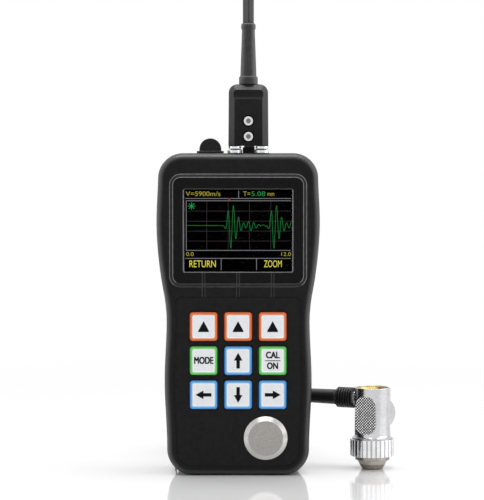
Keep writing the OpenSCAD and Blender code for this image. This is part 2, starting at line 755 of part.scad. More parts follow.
module usb_cap() {
    tab_r = cap_w / 2;
    color("#17171a") translate([cap_x, top_y, case_h]) {
        box(-cap_base_w / 2, cap_base_w / 2, -cap_base_d / 2, hinge_y, 0, cap_base_t);
        box(-cap_plug_w / 2, cap_plug_w / 2, -cap_plug_d / 2, cap_plug_d / 2, -cap_plug_t, cap_base_t);
        box(-tab_r, tab_r, -cap_tab_t / 2, cap_tab_t / 2, cap_base_t / 2, cap_h - tab_r);
        translate([0, 0, cap_h - tab_r]) intersection() {
            bar(0, 0, -cap_tab_t / 2, cap_tab_t / 2, cap_w);
            box(-tab_r, tab_r, -cap_tab_t, cap_tab_t, 0, tab_r);
        }
        translate([0, hinge_y, hinge_r]) rotate([0, 90, 0])
            cylinder(h = cap_base_w, r = hinge_r, center = true);
    }
}
module cap_anchor() {
    color("#17171a") translate([cap_x, top_y, case_h]) difference() {
        box(-anchor_w / 2, anchor_w / 2, hinge_y, hinge_y + hinge_r + anchor_d,
            0, cap_base_t);
        translate([0, hinge_y, hinge_r]) rotate([0, 90, 0])
            cylinder(h = cap_base_w, r = hinge_r + slide_gap, center = true);
        box(-cap_base_w / 2, cap_base_w / 2, 0, hinge_y + slide_gap, -over, cap_base_t + over);
        box(-cap_base_w / 2, cap_base_w / 2, 0, hinge_y + hinge_r + 2 * slide_gap,
            hinge_r, cap_base_t + over);
    }
}

// PLUG: two moulded halves on two pins, with the boot held at the top
root_d = 5;
plug_w = plug_pitch + root_d + 2 * plug_wall;
plug_bevel = 3.1;
plug_z = case_h + plug_lift;
plug_top_z = plug_z + plug_h;
plug_face_w = plug_w - 2 * plug_bevel;
plug_waist_share = 0.974;
root_h = 8;
boot_root_d = 6;
boot_root_h = 3;
plug_screw_d = 2;
plug_screw_head_d = 4.6;
plug_screw_head_t = 0.9;
plug_screw_low = 4.3;
plug_screw_high = 11.6;
plug_screw_zs = [plug_z + plug_screw_low, plug_z + plug_screw_high];
plug_screw_sink = 1;
module plug_block(y0, y1) {
    half = plug_w / 2;
    steps = 8;
    outline = closed(concat([[half, 0]],
        [for (i = [0 : steps]) let (a = 90 * i / steps)
            [half * plug_waist_share - plug_corner_r * (1 - cos(a)),
             plug_h - plug_corner_r * (1 - sin(a))]]));
    intersection() {
        translate([plug_x, 0, plug_z]) slab(y0, y1, outline);
        translate([plug_x, 0, plug_z - over]) linear_extrude(plug_h + 2 * over) polygon([
            [-plug_face_w / 2, -plug_d / 2], [plug_face_w / 2, -plug_d / 2],
            [half, -plug_d / 2 + plug_bevel], [half, plug_d / 2 - plug_bevel],
            [plug_face_w / 2, plug_d / 2], [-plug_face_w / 2, plug_d / 2],
            [-half, plug_d / 2 - plug_bevel], [-half, -plug_d / 2 + plug_bevel]]);
    }
}
module plug_hollows() {
    for (side = [-1, 1])
        post(plug_x + side * plug_pitch / 2, 0, plug_z - over, plug_z + root_h, root_d + 2 * snug);
    post(plug_x, 0, plug_top_z - boot_root_h, plug_top_z + over, boot_root_d + 2 * snug);
}
hollow_r = 5;
hollow_t = 0.6;
hollow_drop = 4.6;
module thumb_hollow(side) {
    translate([plug_x, side * (plug_d / 2 + hollow_r - hollow_t), plug_top_z - hollow_drop])
        rotate([0, 90, 0]) cylinder(h = plug_w + over, r = hollow_r, center = true);
}
module plug_front_half() {
    color("#2b2b2e") translate([0, top_y, 0]) difference() {
        plug_block(-plug_d / 2, 0);
        plug_hollows();
        thumb_hollow(-1);
        for (z = plug_screw_zs) {
            bar(plug_x, z, -plug_d / 2 - over, -plug_d / 2 + plug_screw_sink,
                plug_screw_head_d + plug_screw_head_t);
            bar(plug_x, z, -plug_d / 2, over, plug_screw_d + 2 * snug);
        }
    }
}
module plug_rear_half() {
    color("#2b2b2e") translate([0, top_y, 0]) difference() {
        plug_block(0, plug_d / 2);
        plug_hollows();
        thumb_hollow(1);
        for (z = plug_screw_zs) bar(plug_x, z, -over, plug_d / 4, plug_screw_d + 2 * snug);
    }
}
module plug_screws() {
    color("silver") translate([0, top_y, 0]) for (z = plug_screw_zs)
        cross_screw(plug_x, z, -plug_d / 2 + plug_screw_sink,
            -plug_d / 2 + plug_screw_sink - plug_screw_head_t, plug_d / 4,
            plug_screw_head_d, plug_screw_d);
}
module plug_pin(side) {
    collar_d = socket_d - 2 * ring_edge;
    color("#d2d3d6") translate([plug_x + side * plug_pitch / 2, top_y, 0]) difference() {
        union() {
            post(0, 0, case_h - pin_depth, plug_z, pin_d);
            post(0, 0, case_h + socket_rise + slide_gap, plug_z, collar_d);
            post(0, 0, plug_z, plug_z + root_h, root_d);
        }
        post(0, 0, case_h - pin_depth - over, case_h + over, pin_d / 2);
    }
}
// The boot: a foot ring, a long taper and a rounded top ring
boot_foot_h = 3.6;
boot_top_h = 3;
boot_low_d = 7.6;
boot_high_d = 6;
boot_ring_d = 6.8;
boot_edge = 0.5;
module plug_boot() {
    r_foot = boot_d / 2;
    r_ring = boot_ring_d / 2;
    ring_z = boot_h - boot_top_h;
    color("#242427") translate([plug_x, top_y, plug_top_z]) rotate_extrude() polygon([
        [0, -boot_root_h], [boot_root_d / 2, -boot_root_h], [boot_root_d / 2, 0], [r_foot, 0],
        [r_foot, boot_foot_h - boot_edge], [r_foot - boot_edge, boot_foot_h],
        [boot_low_d / 2, boot_foot_h], [boot_high_d / 2, ring_z],
        [r_ring - boot_edge / 2, ring_z + boot_edge / 2], [r_ring, ring_z + boot_edge],
        [r_ring, boot_h - 2 * boot_edge], [r_ring - boot_edge, boot_h - boot_edge / 2],
        [r_ring - 2 * boot_edge, boot_h], [0, boot_h]]);
}

// LEAD: flat twin lead. Route points are chosen by hand, in millimetres.
rise_route = [
    [4.8, 0, 211], [4.8, 0, 217], [4.8, 0, 224], [4.8, 1.6, 232], [4.8, 6.2, 238.8],
    [4.8, 13, 243.4], [4.8, 21, 245]
];
fall_route = [
    [4.8, 21, 245], [4.8, 29, 243.4], [4.8, 35.8, 238.8], [4.8, 40.4, 232], [4.8, 42, 224],
    [4.8, 42.2, 212], [4.8, 42, 198], [4.8, 41.6, 182], [4.9, 41, 166], [5.6, 40.2, 150],
    [7.2, 39.3, 134], [9.8, 38.4, 118], [13.4, 37.4, 102], [17.4, 36.4, 86], [21.4, 35.6, 70],
    [24.8, 35.1, 55], [27, 35, 41], [28, 35.6, 30], [28.2, 38, 22], [28, 42.8, 15.8],
    [28, 49.2, 12.2], [28, 58.8, 11.4]
];
tail_route = [
    [-7.6, 36.5, 1.8], [-3, 34.3, 1.8], [1.5, 32.5, 1.8], [5, 31.2, 2.2], [8.2, 30.1, 4.6],
    [10.8, 29.2, 8.2], [12.6, 28.6, 13], [14, 28.2, 18.4], [15.8, 27.6, 23.8], [18.6, 26.8, 28.8],
    [22.4, 25.4, 32], [26, 24.1, 33.2], [29.9, 22.5, 33.3]
];
coil_x = 0;
coil_y = 64;
coil_layers = 4;
coil_lift = 0.5;
coil_rest_z = lead_t / 2 + coil_lift;
coil_end_angle = 244;
coil_steps = 24;
drop_from_share = 0.78;
drop_share = 0.18;
function unit(v) = v / norm(v);
function sideways(w, t) = unit(w - (w * t) * t);
function heading(route, i, first, last) =
    i == 0 && !is_undef(first) ? unit(first)
    : i == len(route) - 1 && !is_undef(last) ? unit(last)
    : unit(route[min(i + 1, len(route) - 1)] - route[max(i - 1, 0)]);
function section(sides) = let (grow = 1 / cos(180 / sides))
    sides == 6
    ? [for (s = [[-1, -1], [1, -1], [2, 0], [1, 1], [-1, 1], [-2, 0]])
        [s[0] * lead_w / 4, s[1] * lead_t / 2]]
    : [for (i = [0 : sides - 1]) let (a = 360 * (i + 0.5) / sides)
        [grow * cos(a) * lead_w / 2, grow * sin(a) * lead_t / 2]];
function lead_ring(p, t, w, shape) = let (u = sideways(w, t), v = cross(u, t))
    [for (s = shape) p + s[0] * u + s[1] * v];
module lead(route, widths, sides, first, last) {
    shape = section(sides);
    color("#2c2c30") polyhedron(
        points = [for (i = [0 : len(route) - 1])
            each lead_ring(route[i], heading(route, i, first, last), widths[i], shape)],
        faces = skin_faces(sides, len(route)));
}
function constant(w, route) = [for (p = route) w];
module cord_rise() { lead(rise_route, constant([1, 0, 0], rise_route), 8, [0, 0, 1], [0, 1, 0]); }
module cord_fall() { lead(fall_route, constant([1, 0, 0], fall_route), 8, [0, 1, 0], [0, 1, 0]); }
tail_side = [cos(coil_end_angle), sin(coil_end_angle), 0];
tail_ahead = [-sin(coil_end_angle), cos(coil_end_angle), 0];
module cord_tail() {
    lead(tail_route, constant(tail_side, tail_route), 8, tail_ahead, tail_ahead);
}
// The coil winds down from its top layer, each turn dropping to the next one near its end
coil_turns = coil_layers - 1 + coil_end_angle / 360;
function drop(t) = let (u = min(max((t - floor(t) - drop_from_share) / drop_share, 0), 1))
    min(floor(t) + u * u * (3 - 2 * u), coil_layers - 1);
function coil_at(t) = [
    coil_x + coil_r * cos(360 * t), coil_y + coil_r * sin(360 * t),
    coil_rest_z + (coil_layers - 1 - drop(t)) * coil_pitch
];
coil_count = round(coil_turns * coil_steps);
coil_ts = [for (i = [0 : coil_count]) coil_turns * i / coil_count];
coil_route = concat(
    [coil_at(0) - [0, lead_w, 0]], [for (t = coil_ts) coil_at(t)],
    [coil_at(coil_turns) + lead_w * tail_ahead]);
coil_widths = concat([[1, 0, 0]], [for (t = coil_ts) [cos(360 * t), sin(360 * t), 0]], [tail_side]);
module cord_coil() { lead(coil_route, coil_widths, 6, [0, 1, 0], tail_ahead); }
coil_rings = [for (i = [0 : len(coil_route) - 1])
    lead_ring(coil_route[i], heading(coil_route, i, [0, 1, 0], tail_ahead), coil_widths[i], section(6))];
coil_gap = min([for (i = [0 : len(coil_rings) - 1])
    for (j = [i + coil_steps - 5 : 1 : min(i + coil_steps + 5, len(coil_rings) - 1)])
        for (p = coil_rings[i]) for (q = coil_rings[j]) norm(p - q)]);
echo(least_gap_of_the_coil_to_itself = coil_gap);
// A strap round the coil's bundle, opposite the place where the lead comes down
tie_w = 7;
tie_t = 0.4;
tie_gap = 0.5;
module cord_tie() {
    bundle_h = (coil_layers - 1) * coil_pitch + lead_t;
    mid_z = coil_rest_z - lead_t / 2 + bundle_h / 2;
    inner_w = lead_w + 2 * tie_gap;
    inner_h = bundle_h + 2 * snug;
    color("#111113") translate([coil_x - coil_r, coil_y, mid_z]) rotate([90, 0, 0])
        linear_extrude(tie_w, center = true) difference() {
            square([inner_w + 2 * tie_t, inner_h + 2 * tie_t], center = true);
            square([inner_w, inner_h], center = true);
        }
}

// PROBE: stands on its sensing tip
probe_top_r = probe_d / 2;
collar_z = nose_h;
body_z = collar_z + collar_h;
flare_r = 9.6;
spigot_r = 8.5;
spigot_h = 3;
cavity_d = 13;
cavity_h = 9;
flare_h = 2.2;
rim_edge = 0.3;
insert_wall = 0.9;
insert_depth = 4;
grip_z_share = 0.475;
grip_h_share = 0.73;
back_grip_share = 0.675;
grip_z = body_z + grip_z_share * (probe_h - body_z);
grip_h = grip_h_share * (probe_h - body_z);
back_grip_d = back_grip_share * (probe_h - body_z);
grip_out = 8.7;
grip_corner_share = 0.42;
grip_outline = round_rect(grip_w, grip_h, grip_w * grip_corner_share, 5);
pad_t = 0.5;
stub_l = 0.6;
sleeve_drop = 5.5;
sleeve_z = probe_h - sleeve_drop;
sleeve_d = 7.2;
rib_d = 9.8;
// The knurled pads, and with extra length the seats that are cut for them
module pads(extra) {
    rotate([0, 0, -grip_turn]) {
        translate([0, 0, grip_z]) slab(-grip_out - extra, -grip_out + pad_t, grip_outline);
        bar(0, grip_z, grip_out - pad_t, grip_out + extra, back_grip_d);
    }
}
module at_probe() { translate([probe_x, probe_y, 0]) children(); }
module probe_body() {
    color("#d5d6da") at_probe() difference() {
        union() {
            rotate_extrude() polygon([
                [0, body_z - spigot_h], [spigot_r, body_z - spigot_h], [spigot_r, body_z],
                [flare_r, body_z], [flare_r, body_z + flare_h / 4],
                [(flare_r + probe_top_r) / 2, body_z + flare_h / 2],
                [probe_top_r, body_z + flare_h], [probe_top_r, probe_h - rim_edge],
                [probe_top_r - rim_edge, probe_h], [0, probe_h]]);
            rotate([0, 0, -grip_turn]) {
                translate([0, 0, grip_z]) slab(-grip_out + pad_t, 0, grip_outline);
                bar(0, grip_z, 0, grip_out - pad_t, back_grip_d);
            }
            rotate([0, 0, 180 - sleeve_turn]) translate([0, 0, sleeve_z]) rotate([0, 90, 0])
                cylinder(h = probe_top_r + stub_l, d = sleeve_d);
        }
        pads(over);
        post(0, 0, probe_h - insert_depth, probe_h + over, probe_d - 2 * insert_wall);
        post(0, 0, body_z - spigot_h - over, body_z - spigot_h + cavity_h, cavity_d);
    }
}
module probe_grips() {
    color("#9fa0a4") at_probe() pads(0);
}
insert_drop = 0.6;
insert_floor = 1.4;
module probe_insert() {
    r = probe_top_r - insert_wall - snug;
    color("#c9a24a") at_probe() rotate_extrude() polygon([
        [0, probe_h - insert_depth], [r, probe_h - insert_depth], [r, probe_h - insert_drop],
        [r - insert_drop, probe_h - insert_drop],
        [r - 2 * insert_drop, probe_h - insert_depth + insert_floor],
        [0, probe_h - insert_depth + insert_floor]]);
}
flutes = 21;
flute_w = 1;
flute_t = 0.45;
collar_edge = 0.5;
collar_bore_r = 6;
module probe_collar() {
    r = collar_d / 2;
    color("#d5d6da") at_probe() difference() {
        rotate_extrude() polygon([
            [collar_bore_r, collar_z], [r - collar_edge, collar_z], [r, collar_z + collar_edge],
            [r, body_z - collar_edge], [r - collar_edge, body_z], [spigot_r + snug, body_z],
            [spigot_r + snug, body_z - spigot_h], [collar_bore_r, body_z - spigot_h]]);
        for (i = [0 : flutes - 1]) rotate([0, 0, 360 * i / flutes])
            box(r - flute_t, r + over, -flute_w / 2, flute_w / 2, collar_z - over, body_z + over);
    }
}
rim_h = 1.9;
tip_wall = 0.6;
tip_lift = 0.15;
core_d = tip_d - 2 * tip_wall - 2 * snug;
module probe_nose() {
    r = nose_d / 2;
    tip_r = tip_d / 2;
    color("#b5ada0") at_probe() rotate_extrude() polygon([
        [tip_r - tip_wall, tip_lift], [tip_r - tip_lift, tip_lift],
        [tip_r + tip_lift, tip_wall], [r - 3 * rim_edge, nose_h - rim_h],
        [r - rim_edge, nose_h - rim_h], [r, nose_h - rim_h + rim_edge],
        [r, nose_h], [tip_r - tip_wall, nose_h]]);
}
module probe_face() {
    color("#6a6258") at_probe() difference() {
        post(0, 0, 0, nose_h, core_d);
        box(-tip_d, tip_d, -barrier_t / 2, barrier_t / 2, -over, nose_h + over);
    }
}
barrier_t = 0.6;
barrier_h = 14;
module probe_barrier() {
    color("#8a7048") at_probe() intersection() {
        box(-tip_d, tip_d, -barrier_t / 2 + snug, barrier_t / 2 - snug, 0, barrier_h);
        post(0, 0, 0, barrier_h, core_d);
    }
}
element_t = 0.8;
module probe_elements() {
    color("#cfc9ba") at_probe() difference() {
        post(0, 0, nose_h, nose_h + element_t, core_d);
        box(-tip_d, tip_d, -barrier_t / 2, barrier_t / 2, nose_h - over, nose_h + element_t + over);
    }
}
// The ribbed sleeve, turned about its own axis and laid from the probe to the lead
sleeve_ribs = 6;
rib_pitch = 1.3;
rib_t = 0.6;
rib_rise = 1;
module probe_boot() {
    start = probe_top_r + stub_l;
    ribbed_from = start + rib_t;
    ribbed_to = ribbed_from + sleeve_ribs * rib_pitch;
    root_r = rib_d / 2 - rib_rise;
    end = sleeve_l;
    color("#1f1f22") at_probe() translate([0, 0, sleeve_z]) rotate([0, 0, 180 - sleeve_turn])
        rotate([0, 90, 0]) rotate_extrude() polygon(concat(
            [[0, start], [rib_d / 2, start], [rib_d / 2, ribbed_from]],
            [for (i = [0 : sleeve_ribs - 1]) let (s = ribbed_from + i * rib_pitch)
                each [[root_r, s], [root_r, s + rib_t / 2], [rib_d / 2, s + rib_t],
                      [rib_d / 2, s + rib_pitch]]],
            [[sleeve_d / 2, ribbed_to + rib_rise], [sleeve_d / 2, end - sleeve_d],
             [sleeve_d / 2 - rim_edge, end], [0, end]]));
}

front_shell();
rear_shell();
case_gasket();
display_window();
lcd_module();
keypad_overlay();
for (k = key_rows) key(k);
zero_disc();
main_board();
board_screws();
board_chips();
key_switches();
case_screws();
battery_door();
cell(-1);  // battery_left
cell(1);  // battery_right
bridge_contact();
terminal_contacts();
connector_board();
usb_socket();
usb_cap();
cap_anchor();
socket(-1);  // socket_left
socket(1);  // socket_right
plug_front_half();
plug_rear_half();
plug_pin(-1);  // plug_pin_left
plug_pin(1);  // plug_pin_right
plug_screws();
plug_boot();
cord_rise();
cord_fall();
cord_coil();
cord_tail();
cord_tie();
probe_body();
probe_grips();
probe_insert();
probe_collar();
probe_nose();
probe_face();
probe_elements();
probe_barrier();
probe_boot();
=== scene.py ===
import bpy
import json
import math
from mathutils import Matrix, Vector

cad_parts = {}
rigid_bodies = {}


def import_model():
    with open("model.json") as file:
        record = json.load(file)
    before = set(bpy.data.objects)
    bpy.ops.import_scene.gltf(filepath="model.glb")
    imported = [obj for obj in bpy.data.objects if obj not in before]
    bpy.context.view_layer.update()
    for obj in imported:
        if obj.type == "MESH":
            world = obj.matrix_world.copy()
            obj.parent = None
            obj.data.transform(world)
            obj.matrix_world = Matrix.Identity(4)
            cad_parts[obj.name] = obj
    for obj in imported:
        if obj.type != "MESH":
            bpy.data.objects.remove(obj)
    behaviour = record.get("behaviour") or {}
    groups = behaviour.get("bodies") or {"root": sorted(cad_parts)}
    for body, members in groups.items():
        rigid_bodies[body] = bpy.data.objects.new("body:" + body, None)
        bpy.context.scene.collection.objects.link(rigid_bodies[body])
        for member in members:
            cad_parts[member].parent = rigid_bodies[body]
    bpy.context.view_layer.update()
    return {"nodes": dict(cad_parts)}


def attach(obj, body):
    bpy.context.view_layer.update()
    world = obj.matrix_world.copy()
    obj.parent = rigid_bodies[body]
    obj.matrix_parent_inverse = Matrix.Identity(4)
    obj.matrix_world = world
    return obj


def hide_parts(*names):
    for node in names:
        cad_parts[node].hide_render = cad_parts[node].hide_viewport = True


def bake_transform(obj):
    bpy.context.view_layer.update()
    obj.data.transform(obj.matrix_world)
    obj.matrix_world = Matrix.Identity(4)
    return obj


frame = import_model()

bpy.ops.object.select_all(action="DESELECT")

view_tilt = math.radians(2.5)
view_distance = 1.0
view_width = 0.2283
view_middle = Vector((0.0018, 0, 0.1044))
sensor_width = 36
bpy.ops.object.camera_add(
    location=view_middle + view_distance * Vector((0, -math.cos(view_tilt), math.sin(view_tilt))),
    rotation=(math.pi / 2 - view_tilt, 0, 0))
camera = bpy.context.object
camera.data.sensor_fit = "HORIZONTAL"
camera.data.sensor_width = sensor_width
camera.data.lens = sensor_width * view_distance / view_width
camera.data.clip_end = 60
bpy.context.scene.camera = camera
bpy.context.scene.view_settings.view_transform = "Standard"

# The table top is a white glossy laminate that mirrors the foot of the gauge. Further out it turns into the
# plain white of the backdrop.


class Nodes:
    """The shader nodes of a material or of the room."""

    def __init__(self, owner):
        self.owner = owner
        owner.use_nodes = True
        self.tree = owner.node_tree

    def node(self, kind, output, links=(), **settings):
        """Adds a node whose inputs are values or other nodes' outputs, and returns one of its outputs."""
        made = self.tree.nodes.new("ShaderNode" + kind)
        for key, value in settings.items():
            setattr(made, key, value)
        for key, value in dict(links).items():
            if isinstance(value, bpy.types.NodeSocket):
                self.tree.links.new(value, made.inputs[key])
            else:
                made.inputs[key].default_value = value
        return made.outputs[output]

    def places(self, scale=(1, 1, 1), turn=(0, 0, 0), shift=(0, 0, 0)):
        """The object's own coordinates, moved, turned or stretched."""
        where = self.node("TexCoord", "Object")
        return self.node("Mapping", "Vector",
                         {"Vector": where, "Scale": scale, "Rotation": turn, "Location": shift})

    def along(self, axis):
        """The place along X, Y or Z, in metres."""
        return self.node("SeparateXYZ", axis, {"Vector": self.places()})

    def speckle(self, scale, detail=3):
        """Noise from 0 to 1 whose grains are about 1/scale metres wide."""
        return self.node("TexNoise", "Fac", {"Vector": self.places(), "Scale": scale, "Detail": detail,
                                             "Roughness": 0.55})

    def ramp(self, fac, *stops, kind="LINEAR"):
        """A colour ramp with (place, colour) stops. A single number is a grey."""
        made = self.node("ValToRGB", "Color", {"Fac": fac})
        made.node.color_ramp.interpolation = kind
        points = made.node.color_ramp.elements
        while len(points) < len(stops):
            points.new(0.5)
        for point, (place, colour) in zip(points, stops):
            point.position = place
            point.color = (*(colour if isinstance(colour, tuple) else (colour,) * 3), 1)
        return made

    def span(self, value, low, high, to_low=0.0, to_high=1.0, kind="LINEAR"):
        """The value moved from one range to another, and held at its ends."""
        return self.node("MapRange", "Result", {"Value": value, "From Min": low, "From Max": high,
                                                "To Min": to_low, "To Max": to_high}, interpolation_type=kind)

    def calc(self, kind, a, b, c=0.0):
        return self.node("Math", 0, {0: a, 1: b, 2: c}, operation=kind)

    def mix(self, fac, one, other, **settings):
        return self.node("Mix", 2, {"Factor": fac, "A": one, "B": other}, data_type="RGBA", **settings)

    def seen(self):
        """1 where the eye, gloss or glass looks, and 0 where the surface only gives light."""
        rays = self.node("LightPath", 0).node.outputs
        return self.calc("MAXIMUM", rays["Is Camera Ray"],
                         self.calc("MAXIMUM", rays["Is Glossy Ray"], rays["Is Transmission Ray"]))

    def drive(self, socket, value):
        self.tree.links.new(value, self.shader.inputs[socket])

    def cloud(self, scale, detail, *stops):
        """Lets the base colour wander between the stops."""
        self.drive("Base Color", self.ramp(self.speckle(scale, detail), *stops))

    def polish(self, scale, low, high, detail=3):
        """Lets the roughness wander between low and high."""
        self.drive("Roughness", self.span(self.speckle(scale, detail), 0.3, 0.7, low, high))

    def bump(self, height, depth):
        """Raises the surface by height times depth, in metres."""
        self.drive("Normal", self.node("Bump", "Normal", {"Height": height, "Distance": depth,
                                                          "Strength": 1.0}))


def finish(name, colour, rough, **sockets):
    """A new material. Its shader's other values are given by their sockets' names."""
    made = Nodes(bpy.data.materials.new(name))
    made.shader = made.tree.nodes["Principled BSDF"]
    for key, value in dict(sockets, Base_Color=(*colour, 1), Roughness=rough).items():
        made.shader.inputs[key.replace("_", " ")].default_value = value
    return made


def wear(item, made):
    """Gives an object one material and nothing else."""
    item.data.materials.clear()
    item.data.materials.append(made.owner)


bpy.ops.mesh.primitive_circle_add(vertices=96, radius=12, fill_type="NGON", location=(0, 0, 0))
table = bpy.context.object
table.name = "table_top"
laminate = finish("white_laminate", (0.9, 0.9, 0.905), 0.05, Specular_IOR_Level=0.5)
laminate.polish(40, 0.04, 0.07)
away = laminate.node("VectorMath", "Value", {0: laminate.places()}, operation="LENGTH")
far = laminate.calc("MULTIPLY", laminate.span(away, 0.2, 0.6, kind="SMOOTHSTEP"), laminate.seen())
white = laminate.node("Emission", 0, {"Color": (1, 1, 1, 1), "Strength": 1.0})
both = laminate.node("MixShader", 0, {"Fac": far, 1: laminate.shader.outputs["BSDF"], 2: white})
laminate.tree.links.new(both, laminate.tree.nodes["Material Output"].inputs["Surface"])
wear(table, laminate)

# Two large soft boxes stand at the sides, a wide one hangs above and another over the camera. The white
# room shows in gloss and glass.
light_aim = Vector((0, 0, 0.1))
for lamp_name, place, size, power in (
        ("soft_box_left", (-0.75, -0.2, 0.5), (0.9, 0.95), 1.4),
        ("soft_box_right", (0.75, -0.2, 0.5), (0.9, 0.95), 3.4),
        ("soft_box_top", (0, 0.1, 1.1), (0.9, 0.42), 6.6),
        ("soft_box_front", (0, -0.95, 1.25), (1.0, 0.5), 4.5)):
    bpy.ops.object.light_add(type="AREA", location=place)
    lamp = bpy.context.object
    lamp.name = lamp_name
    lamp.rotation_euler = (light_aim - Vector(place)).to_track_quat("-Z", "Y").to_euler()
    lamp.data.shape = "RECTANGLE"
    lamp.data.size, lamp.data.size_y = size
    lamp.data.energy = power
room = Nodes(bpy.data.worlds.new("white_room"))
bpy.context.scene.world = room.owner
backdrop = room.tree.nodes["Background"].inputs
backdrop["Color"].default_value = (1, 1, 1, 1)
room.tree.links.new(room.span(room.seen(), 0, 1, 0.42, 1.0), backdrop["Strength"])

# The probe's lead is a flat twin lead: two thin coaxial strands side by side in one black jacket. It leaves
# the plug's boot upwards, bends over, falls behind the case into a tied coil and ends in the probe's
# sleeve. It is 1.025 m long, 5.2 mm wide and 2.6 mm thick.
mm = 0.001
lead_width = 0.0052
strand = lead_width / 4
ring_gap = 0.0026
way_down = [(4.8, 0, 211), (4.8, 0, 217), (4.8, 0, 224), (4.8, 1.6, 232), (4.8, 6.2, 238.8), (4.8, 13, 243.4),
            (4.8, 21, 245), (4.8, 29, 243.4), (4.8, 35.8, 238.8), (4.8, 40.4, 232), (4.8, 42, 224),
            (4.8, 42.2, 212), (4.8, 42, 198), (4.8, 41.6, 182), (4.9, 41, 166), (5.6, 40.2, 150),
            (7.2, 39.3, 134), (9.8, 38.4, 118), (13.4, 37.4, 102), (17.4, 36.4, 86), (21.4, 35.6, 70),
            (24.8, 35.1, 55), (27, 35, 41), (28, 35.6, 30), (28.2, 38, 22), (28, 42.8, 15.8),
            (28, 49.2, 12.2), (28, 58.8, 11.4)]
way_to_probe = [(-7.6, 36.5, 1.8), (-3, 34.3, 1.8), (1.5, 32.5, 1.8), (5, 31.2, 2.2), (8.2, 30.1, 4.6),
                (10.8, 29.2, 8.2), (12.6, 28.6, 13), (14, 28.2, 18.4), (15.8, 27.6, 23.8),
                (18.6, 26.8, 28.8), (22.4, 25.4, 32), (26, 24.1, 33.2), (29.9, 22.5, 33.3)]
coil_middle = Vector((0, 64, 0))
coil_radius = 28
coil_end = 244
coil_turns = 3 + coil_end / 360
coil_steps = 88
coil_floor = 1.8
coil_layer = 3.2


def coil_point(turn):
    """The middle of the lead this many turns into the coil. It steps down a layer late in each turn."""
    part = min(max((turn - math.floor(turn) - 0.78) / 0.18, 0), 1)
    layer = min(math.floor(turn) + part * part * (3 - 2 * part), 3)
    angle = 2 * math.pi * turn
    return coil_middle + Vector((coil_radius * math.cos(angle), coil_radius * math.sin(angle),
                                 coil_floor + (3 - layer) * coil_layer))


def curve(t, here, there, lean, next_lean):
    """A smooth way between two places that sets out along one lean and arrives along the next."""
    return ((2 * t ** 3 - 3 * t ** 2 + 1) * here + (t ** 3 - 2 * t ** 2 + t) * lean
            + (3 * t ** 2 - 2 * t ** 3) * there + (t ** 3 - t ** 2) * next_lean)


def outward_at(angle):
    return Vector((math.cos(angle), math.sin(angle), 0))


stations = [(Vector(p), Vector((1, 0, 0))) for p in way_down]
for step in range(coil_steps + 1):
    turn = coil_turns * step / coil_steps
    stations.append((coil_point(turn), outward_at(2 * math.pi * turn)))
stations += [(Vector(p), outward_at(math.radians(coil_end))) for p in way_to_probe]
stations = [(mm * p, across) for p, across in stations]
last = len(stations) - 1
route = []
for i in range(last):
    before, here, there, after = (stations[min(max(k, 0), last)] for k in (i - 1, i, i + 1, i + 2))
    gap = (there[0] - here[0]).length
    leans = [gap * (b[0] - a[0]).normalized() for a, b in ((before, there), (here, after))]
    rings = max(1, round(gap / ring_gap))
    for k in range(rings):
        t = k / rings
        route.append((curve(t, here[0], there[0], *leans), here[1].lerp(there[1], t)))
route.append(stations[-1])

jacket = []
for side in (1, -1):
    for degrees in range(-126, 127, 18):
        angle = math.radians(degrees)
        jacket.append((side * (strand + strand * math.cos(angle)), side * strand * math.sin(angle)))
    jacket.append((0, side * strand * 0.42))
last = len(route) - 1
count = len(jacket)
verts = []
for i, (place, across) in enumerate(route):
    ahead = (route[min(i + 1, last)][0] - route[max(i - 1, 0)][0]).normalized()
    side = (across - across.dot(ahead) * ahead).normalized()
    up = ahead.cross(side)
    verts += [place + a * side + b * up for a, b in jacket]
faces = [(i + j, i + (j + 1) % count, i + count + (j + 1) % count, i + count + j)
         for i in range(0, last * count, count) for j in range(count)]
faces += [tuple(range(count - 1, -1, -1)), tuple(last * count + j for j in range(count))]
lead_mesh = bpy.data.meshes.new("twin_lead")
lead_mesh.from_pydata(verts, [], faces)
lead = bpy.data.objects.new("twin_lead", lead_mesh)
bpy.context.scene.collection.objects.link(lead)
bpy.context.view_layer.objects.active = lead
lead.select_set(True)
bpy.ops.object.shade_smooth_by_angle(angle=math.radians(50))
lead.select_set(False)
rubber = finish("lead_jacket", (0.012, 0.012, 0.013), 0.42, Specular_IOR_Level=0.25)
black = rubber.ramp(rubber.speckle(260), (0.3, 0.009), (0.75, 0.016))
# Above the boot the jacket is painted paler towards the top: a painted highlight on the lead where it bends
# over.
painted_highlight_top = rubber.span(rubber.along("Z"), 0.19, 0.212)
rubber.drive("Base Color", rubber.mix(painted_highlight_top, black, (0.08, 0.08, 0.081, 1)))
rubber.polish(600, 0.36, 0.5)
rubber.bump(rubber.speckle(2600, 2), 0.00003)
wear(lead, rubber)
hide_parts("cord_rise", "cord_fall", "cord_coil", "cord_tail")
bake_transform(lead)

# The strap round the coil is a short length of woven hook-and-loop tape. It is wrapped once round the turns
# of the coil and pressed down on itself.


def take(*items):
    """Selects these items alone and makes the first one active."""
    bpy.ops.object.select_all(action="DESELECT")
    for item in items:
        item.select_set(True)
    bpy.context.view_layer.objects.active = items[0]


def put(item, place=(0, 0, 0), turn=(0, 0, 0)):
    """Turns and moves an item, and keeps that in its mesh."""
    take(item)
    item.rotation_euler = turn
    item.location = Vector(place) * mm
    bpy.ops.object.transform_apply(location=True, rotation=True, scale=True)
    return item


def done():
    """Leaves edit mode with the faces outward, and moves the place, turn and scale into the mesh."""
    if bpy.context.object.mode == "EDIT":
        bpy.ops.mesh.select_all(action="SELECT")
        bpy.ops.mesh.normals_make_consistent(inside=False)
        bpy.ops.object.mode_set(mode="OBJECT")
    bpy.ops.object.transform_apply(location=True, rotation=True, scale=True)
    return bpy.context.object


